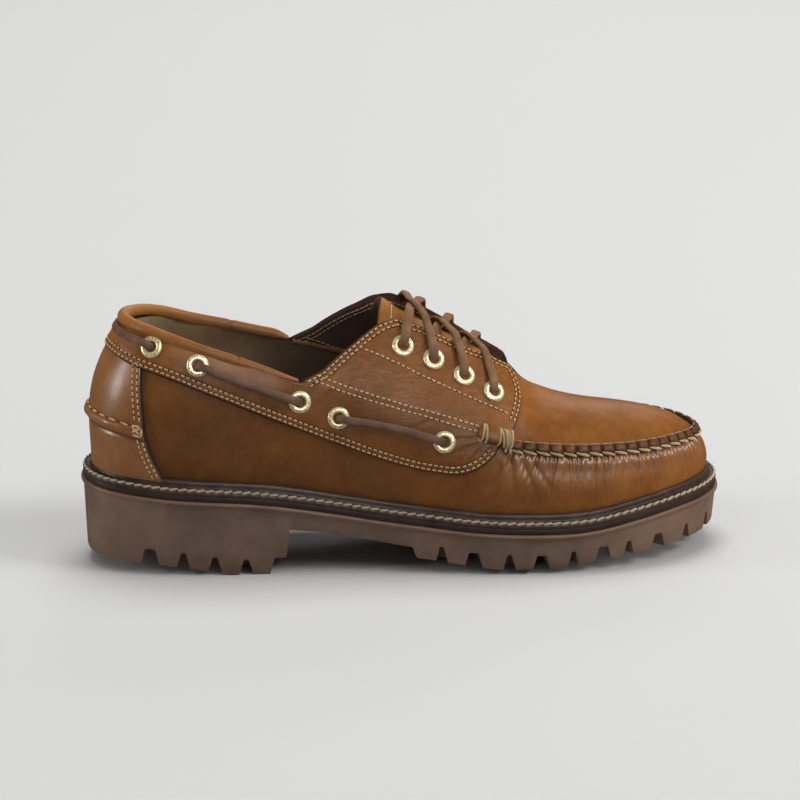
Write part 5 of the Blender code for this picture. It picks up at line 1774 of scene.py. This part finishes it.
def make_tongue(thread):
    stations = np.linspace(TONGUE[0].x + TONGUE_TRIM, TONGUE[-1].x, 110)
    across = np.linspace(-1, 1, 91)
    width = straight(TONGUE, "width", stations)
    share = np.abs(across)[None, :] * width[:, None] * TONGUE_HALF
    slant = TONGUE_SLANT * np.abs(across)[None, :] * share_of(stations, *TONGUE_ROUNDED)[:, None]
    x = stations[:, None] - slant
    turns = np.where(across < 0, -1, 1)[None, :] * TOP.turn_at(x)
    high = tongue_top(turns, 2 - share)
    top = skin(turns, 2 - share, high)
    for side in (-1, 1):
        row = np.linspace(0.08, 0.4, 40)
        row_x = stations[0] + TONGUE_ROW - TONGUE_SLANT * row / TONGUE_HALF
        row_turns = side * TOP.turn_at(row_x)
        thread.row(row_turns, 2 - row, tongue_top, STITCH_PITCH, TONGUE_STITCH, STITCH_RADIUS)
    low = skin(turns, 2 - share, high - TONGUE_THICK)
    points = np.concatenate([low[:, :1], top, low[:, -1:]], 1)
    back = np.concatenate([low[:1, :1], low[:1], low[:1, -1:]], 1)
    points = np.concatenate([back, points], 0)
    edge = np.zeros(points.shape[:2])
    edge[0] = edge[:, 0] = edge[:, -1] = 1.0
    edge[1, 1:-1] = 0.4
    # Painted light: the tongue's face is painted paler; its edges are darker as raw edges
    fields = {"tone": 0.6 - edge, "edge": edge}
    grid_piece("tongue_leather", points, LEATHER, "upper_leather", "tongue", flip=True, **fields)
    grid_piece("tongue_lining", low, LINING_DARK, "lining_leather", "tongue", tone=0.0)


def ring_turns(spacing):
    fine = np.linspace(-math.pi, math.pi, 4000)
    x, y = SOLE.at(fine)
    length = path_length(np.stack([x, y, 0 * x], 1))
    even = np.linspace(0, length[-1], int(length[-1] / spacing), endpoint=False)
    return np.interp(even, length, fine), even


def make_welt(thread):
    """Storm welt: scalloped edge, stitched shelf and the lip that stands against the wall."""
    turns, along = ring_turns(WELT_COLUMN)
    count = int(round(along[-1] / WELT_PITCH))
    x, y = SOLE.inset(turns, WELT_INSET)
    out = upright(SOLE, turns)
    edge = np.stack([x, y, seat(x) + UPPER_FOOT], 1)
    lip_z = seat(foot_line(turns)[0]) + UPPER_FOOT + WELT_THICK
    wall = skin(turns, level_at(turns, lip_z), LIP_LIFT)
    wall_top = skin(turns, level_at(turns, lip_z + WELT_LIP), LIP_LIFT)
    scallop = np.cos(math.tau * along / (along[-1] / count))
    up = np.array([0.0, 0.0, 1.0])
    reach = ((wall - edge) * out).sum(-1, keepdims=True) + WELT_LIP_ROWS[0].out + LIP_CLEAR
    rows = []
    for row in WELT_EDGE:
        bump = scallop[:, None] * row.scallop
        rows.append(edge + out * (np.maximum(row.out, reach) + bump * 0.5) + up * (row.up + bump))
    for row in WELT_LIP_ROWS:
        rows.append(wall + (wall_top - wall) * row.rise + out * row.out)
    points = np.stack(rows, 1)
    points = points + ripple(points, *WELT_WAVE)[..., None] * up
    worn = np.concatenate([column(WELT_EDGE, "edge"), column(WELT_LIP_ROWS, "edge")])
    fields = {"edge": np.broadcast_to(worn, points.shape[:2])}
    grid_piece("welt_leather", points, WELT_BROWN, "welt_leather", "welt", wrap=True, **fields)
    stitch = np.interp(middles(along[-1], count), along, turns)
    sx, sy = SOLE.inset(stitch, WELT_INSET + WELT_ROW)
    base = seat(SOLE.inset(stitch, WELT_INSET)[0]) + UPPER_FOOT
    places = np.stack([sx, sy, base + WELT_ROW_RISE], 1)
    direction = unit(np.gradient(places, axis=0)) - up * 0.22
    outward = upright(SOLE, stitch) + up * 0.3
    thread.add(places, direction, outward, WELT_PITCH * 1.25, WELT_THREAD_RADIUS, flat=0.9, sink=0.5)


def sole_rows(turns, rows, base=None):
    """Rows of points round the sole, each at an inset and a height above the seat at its base station."""
    made = []
    for inset, height in rows:
        x, y = SOLE.inset(turns, inset)
        made.append(np.stack([x, y, seat(x if base is None else base) + height], 1))
    return made


def make_midsole():
    turns, _ = ring_turns(SOLE_COLUMN)
    points = np.stack(sole_rows(turns, MIDSOLE_ROWS, SOLE.inset(turns, MIDSOLE_INSET)[0]), 1)
    grid_piece("midsole_edge", points, WELT_DARK, "welt_leather", "midsole", wrap=True, edge=0.0)


def make_rim():
    """Reddish moulded lip along the top of the rubber."""
    turns, _ = ring_turns(SOLE_COLUMN)
    points = np.stack(sole_rows(turns, RIM_ROWS, SOLE.at(turns)[0]), 1)
    grid_piece("sole_rim", points, RIM_RUBBER, "sole_rubber", wrap=True)


def make_insole():
    stations = -np.cos(np.linspace(0.02, math.pi - 0.02, 140)) * HALF_LENGTH
    turn = SOLE.turn_at(stations)
    inset = FEATHER_INSET + UPPER_WALL + FOOTBED_GAP
    right, left = (np.stack([*SOLE.inset(s * turn, inset)], 1) for s in (-1, 1))
    across = np.linspace(0, 1, 41)[None, :, None]
    plan = right[:, None] + (left - right)[:, None] * across
    dish = FOOTBED_DISH * np.abs(2 * across[..., 0] - 1) ** 4
    z = seat(plan[..., 0]) + UPPER_FOOT + INSOLE_THICK + dish
    points = np.concatenate([plan, z[..., None]], -1)
    points[..., 2] += ripple(points, *FOOTBED_WAVE)
    grid_piece("footbed", points, LINING_PALE, "lining_leather", "insole", tone=0.0)


def stack_plate(rings, tread):
    """Points and faces of the rubber block: rings from the tread up, with strips across both ends."""
    count, size = rings.shape[:2]
    points = list(rings.reshape(-1, 3))
    faces = []
    for i in range(count - 1):
        here, after = i * size, (i + 1) * size
        faces += [[here + j, here + (j + 1) % size, after + (j + 1) % size, after + j] for j in range(size)]
    half = size // 2
    for ring, shape in ((0, tread), (count - 1, None)):
        lines = []
        for j in range(half + 1):
            a, b = ring * size + j, ring * size + (size - j) % size
            line = [a]
            if a != b:
                for share in TREAD_SHARES if shape else ():
                    line.append(len(points))
                    points.append(shape(points[a] + (points[b] - points[a]) * share, share))
                line.append(b)
            lines.append(line)
        for one, two in zip(lines, lines[1:]):
            if len(one) == len(two):
                faces += [[one[k], one[k + 1], two[k + 1], two[k]] for k in range(len(one) - 1)]
            else:
                tip, row = (one[0], two) if len(one) == 1 else (two[0], one)
                faces += [[tip, row[k], row[k + 1]] for k in range(len(row) - 1)]
    return points, faces


def tread_height(x, share):
    edge = share_of(np.abs(2 * share - 1), 0.5, 1)
    return straight(TREAD, "low", x) + straight(TREAD, "camber", x) * edge**2


def solid(name, points, faces):
    mesh = bpy.data.meshes.new(name)
    mesh.from_pydata([tuple(float(c) * MM for c in p) for p in points], [], faces)
    work = bmesh.new()
    work.from_mesh(mesh)
    bmesh.ops.remove_doubles(work, verts=work.verts, dist=2e-6)
    bmesh.ops.dissolve_degenerate(work, edges=work.edges, dist=2e-6)
    bmesh.ops.recalc_face_normals(work, faces=work.faces)
    if work.calc_volume(signed=True) < 0:
        bmesh.ops.reverse_faces(work, faces=work.faces)
    work.to_mesh(mesh)
    work.free()
    return mesh


def groove_bar(start, direction, groove, length, root_z, depth=LUG_DEPTH):
    """Tapered bar that cuts one groove, as wide as its mouth at the tread and wider below."""
    side = np.array([-direction[1], direction[0], 0.0])
    low = groove.root + (groove.mouth + CUTTER_SPARE - groove.root) * (root_z + CUTTER_BELOW) / depth
    corners = []
    for along in (0.0, length):
        for half, z in ((low / 2, -CUTTER_BELOW), (groove.root / 2, root_z)):
            middle = start + direction * along + np.array([0, 0, z])
            corners += [middle + side * sign * half for sign in (-1, 1)]
    return corners, [[0, 1, 3, 2], [4, 6, 7, 5], [0, 4, 5, 1], [2, 3, 7, 6], [0, 2, 6, 4], [1, 5, 7, 3]]


def groove_bars():
    """Cutters of the edge grooves, the cross grooves and the channels, by name."""
    bars = {"edge": [], "cross": [], "channel": []}
    for groove in EDGE_GROOVES:
        root = float(tread_height(groove.x, 0.0)) + LUG_DEPTH
        for side in (-1, 1):
            turn = side * SOLE.turn_at(groove.x)
            outward = upright(SOLE, turn)
            start = np.array([*SOLE.at(turn), 0.0]) + outward * CUTTER_OUT
            bars["edge"].append(groove_bar(start, -outward, groove, EDGE_REACH + CUTTER_OUT, root))
    across, forward = np.array([0.0, 1.0, 0.0]), np.array([1.0, 0.0, 0.0])
    depth = LUG_DEPTH + CROSS_DEEPER
    for groove in CROSS_GROOVES:
        start = np.array([groove.x, -HALF_LENGTH / 2, 0])
        root = float(tread_height(groove.x, 0.5)) + depth
        bars["cross"].append(groove_bar(start, across, groove, HALF_LENGTH, root, depth))
    for side in (-1, 1):
        start = np.array([CHANNEL_BACK, side * CHANNEL_OFFSET, 0])
        length = CHANNEL_FRONT - CHANNEL_BACK
        bars["channel"].append(groove_bar(start, forward, CHANNEL, length, LUG_DEPTH + CHANNEL_DEEPER))
    return bars


def carve(piece, bars):
    """Cut the grooves out of the sole and round its edges, as one plain mesh."""
    cutters = []
    for name, group in bars.items():
        points, faces = [], []
        for corners, bar_faces in group:
            faces += [[i + len(points) for i in face] for face in bar_faces]
            points += corners
        cutter = add_object(name + "_cutter", solid(name + "_cutter", points, faces))
        cutters.append(cutter)
        modifier = piece.modifiers.new(name, "BOOLEAN")
        modifier.operation = "DIFFERENCE"
        modifier.solver = "EXACT"
        modifier.object = cutter
    bevel = piece.modifiers.new("worn_edges", "BEVEL")
    bevel.width = EDGE_ROUND * MM
    bevel.segments = 2
    bevel.limit_method = "ANGLE"
    bevel.angle_limit = math.radians(BEVEL_ANGLE)
    # The bevel faces take the rubber_edge material, whose paler colour is a painted highlight along the lug
    # edges
    bevel.material = 1
    bpy.context.view_layer.update()
    done = bpy.data.meshes.new_from_object(piece.evaluated_get(bpy.context.evaluated_depsgraph_get()))
    piece.modifiers.clear()
    piece.data = done
    done.shade_smooth()
    done.set_sharp_from_angle(angle=math.radians(SHARP_ANGLE))
    for cutter in cutters:
        bpy.data.objects.remove(cutter)


def make_outsole():
    even = -HALF_LENGTH * np.cos(np.linspace(0, math.pi, 150))
    steps = column(TREAD, "x")
    near = np.min(np.abs(even[:, None] - steps[None, :]), axis=1)
    stations = np.sort(np.concatenate([even[near > 0.7], steps]))
    one_side = SOLE.turn_at(stations)
    turns = np.concatenate([-one_side, one_side[-2:0:-1]])
    x = SOLE.at(turns)[0]
    low_x, low_y = SOLE.inset(turns, SOLE_DRAFT)
    low = np.stack([low_x, low_y, tread_height(x, 0.0)], -1)
    rim = sole_rows(turns, SOLE_RINGS)
    rings = [low] + [low + (rim[0] - low) * share for share in (0.33, 0.67)] + rim
    station = np.sort(np.unique(np.round(np.stack([low_x, x], 1), 3), axis=0), axis=0)

    def tread(point, share):
        nearest_row = station[np.argmin(np.abs(station[:, 0] - point[0]))]
        return np.array([point[0], point[1], tread_height(nearest_row[1], share)])

    mesh = solid("outsole_rubber", *stack_plate(np.stack(rings), tread))
    piece = add_piece("outsole_rubber", mesh, [RUBBER, RUBBER_EDGE], "sole_rubber", "outsole")
    carve(piece, groove_bars())


def add_light(row):
    light = bpy.data.lights.new(row.name, "AREA")
    light.shape = "RECTANGLE"
    light.size, light.size_y = row.size
    light.energy = row.power
    lamp = add_object(row.name, light)
    lamp.visible_diffuse = row.diffuse
    lamp.visible_glossy = row.glossy
    lamp.location = row.place
    lamp.rotation_mode = "QUATERNION"
    lamp.rotation_quaternion = (Vector(LIGHT_TARGET) - Vector(row.place)).to_track_quat("-Z", "Y")


def make_stage():
    bpy.ops.mesh.primitive_plane_add(size=FLOOR_SIZE)
    floor = bpy.context.object
    floor.name = "floor"
    n = Nodes("paper_floor")
    depth = n.node("SeparateXYZ", {"Vector": n.place}).outputs["Y"]
    # Painted light: the floor is painted paler further back, evening out the lamps' falloff
    colour = n.mix(n.span(depth, FLOOR_RANGE), FLOOR_GREY, FLOOR_PALE)
    floor.data.materials.append(n.finish(colour, 0.9, specular_ior_level=0.1))
    floor.visible_glossy = False
    scene = bpy.context.scene
    scene.world = bpy.data.worlds.new("studio")
    scene.world.use_nodes = True
    background = scene.world.node_tree.nodes["Background"]
    background.inputs["Color"].default_value = (*WORLD_TINT, 1.0)
    background.inputs["Strength"].default_value = WORLD_POWER
    for row in LIGHTS:
        add_light(row)
    scene.view_settings.view_transform = "Standard"
    scene.view_settings.look = "None"
    scene.view_settings.exposure = 0.0
    camera = bpy.data.cameras.new("photo_camera")
    camera.sensor_width = 36.0
    camera.lens = CAMERA_LENS
    camera.clip_start, camera.clip_end = 0.05, 50.0
    eye = add_object("photo_camera", camera)
    azimuth, elevation = (math.radians(v) for v in (CAMERA_AZIMUTH, CAMERA_ELEVATION))
    level = math.cos(elevation)
    back = Vector((math.sin(azimuth) * level, -math.cos(azimuth) * level, math.sin(elevation)))
    eye.location = Vector(CAMERA_TARGET) + back * CAMERA_DISTANCE
    eye.rotation_mode = "QUATERNION"
    eye.rotation_quaternion = (-back).to_track_quat("-Z", "Y")
    scene.camera = eye


LEATHER = leather_material("tan_leather", LEATHER_DARK, LEATHER_MID, LEATHER_LIGHT)
SEAM_LEATHER = leather_material("seam_leather", SEAM_DARK, SEAM_MID, SEAM_LIGHT, 0.06, (0.38, 0.55), 0.08)
GAP_SHADE_LEATHER = leather_material("edge_leather", EDGE_BROWN, EDGE_BROWN, SEAM_DARK, 0.1, (0.5, 0.7), 0.0)
LINING_PALE = lining_material("lining_pale", LINING_PALE_DARK, LINING_PALE_MID)
LINING_DARK = lining_material("lining_dark", LINING_DARK_DARK, LINING_DARK_MID)
RAWHIDE = lace_material("rawhide", LACE_DARK, LACE_MID, LACE_PALE)
SIDE_RAWHIDE = lace_material("side_rawhide", SIDE_LACE_DARK, SIDE_LACE_MID, SIDE_LACE_PALE)
BRASS = brass_material()
TAN_THREAD = thread_material("tan_thread", THREAD_PALE, THREAD_SHADE)
SEAM_THREAD = thread_material("seam_thread", SEAM_THREAD_PALE, SEAM_THREAD_SHADE)
PALE_THREAD = thread_material("pale_thread", WELT_THREAD_PALE, WELT_THREAD_SHADE)
TAPE = lining_material("lining_tape", LINING_PALE_DARK, LEATHER_MID)
# Painted shade for the hollows of the needle holes
HOLE = Nodes("needle_hole").finish(HOLE_DARK, 1.0, specular_ior_level=0.0)
WELT_BROWN = welt_material("welt_brown", WELT_DARK_TONE, WELT_MID_TONE)
WELT_DARK = welt_material("midsole_dark", WELT_DARK_TONE, WELT_EDGE_TONE, (0.36, 0.55))
RUBBER = rubber_material("brown_rubber", RUBBER_DARK, RUBBER_MID)
RUBBER_EDGE = rubber_material("rubber_edge", RUBBER_MID, RUBBER_EDGE_HIGHLIGHT)
RIM_RUBBER = rubber_material("rim_rubber", RIM_DARK, RIM_MID)

make_stage()
make_upper()
make_plug()
make_lining()
make_saddle()
make_heel_panels()
make_collar_roll()
threads, needle_holes = make_stitches()
welt_threads = Threads()
seam_threads = Threads()
make_moc_seam(seam_threads)
make_knots(seam_threads)
make_welt(welt_threads)
make_tongue(threads)
add_piece("thread_rows", threads.mesh("thread_rows"), TAN_THREAD, "upper_leather")
add_piece("seam_thread", seam_threads.mesh("seam_thread"), SEAM_THREAD, "upper_leather")
add_piece("welt_thread", welt_threads.mesh("welt_thread"), PALE_THREAD, "welt_leather")
add_piece("needle_holes", needle_holes.mesh("needle_holes"), HOLE, "upper_leather")
make_eyelets()
make_laces()
make_midsole()
make_rim()
make_insole()
make_outsole()
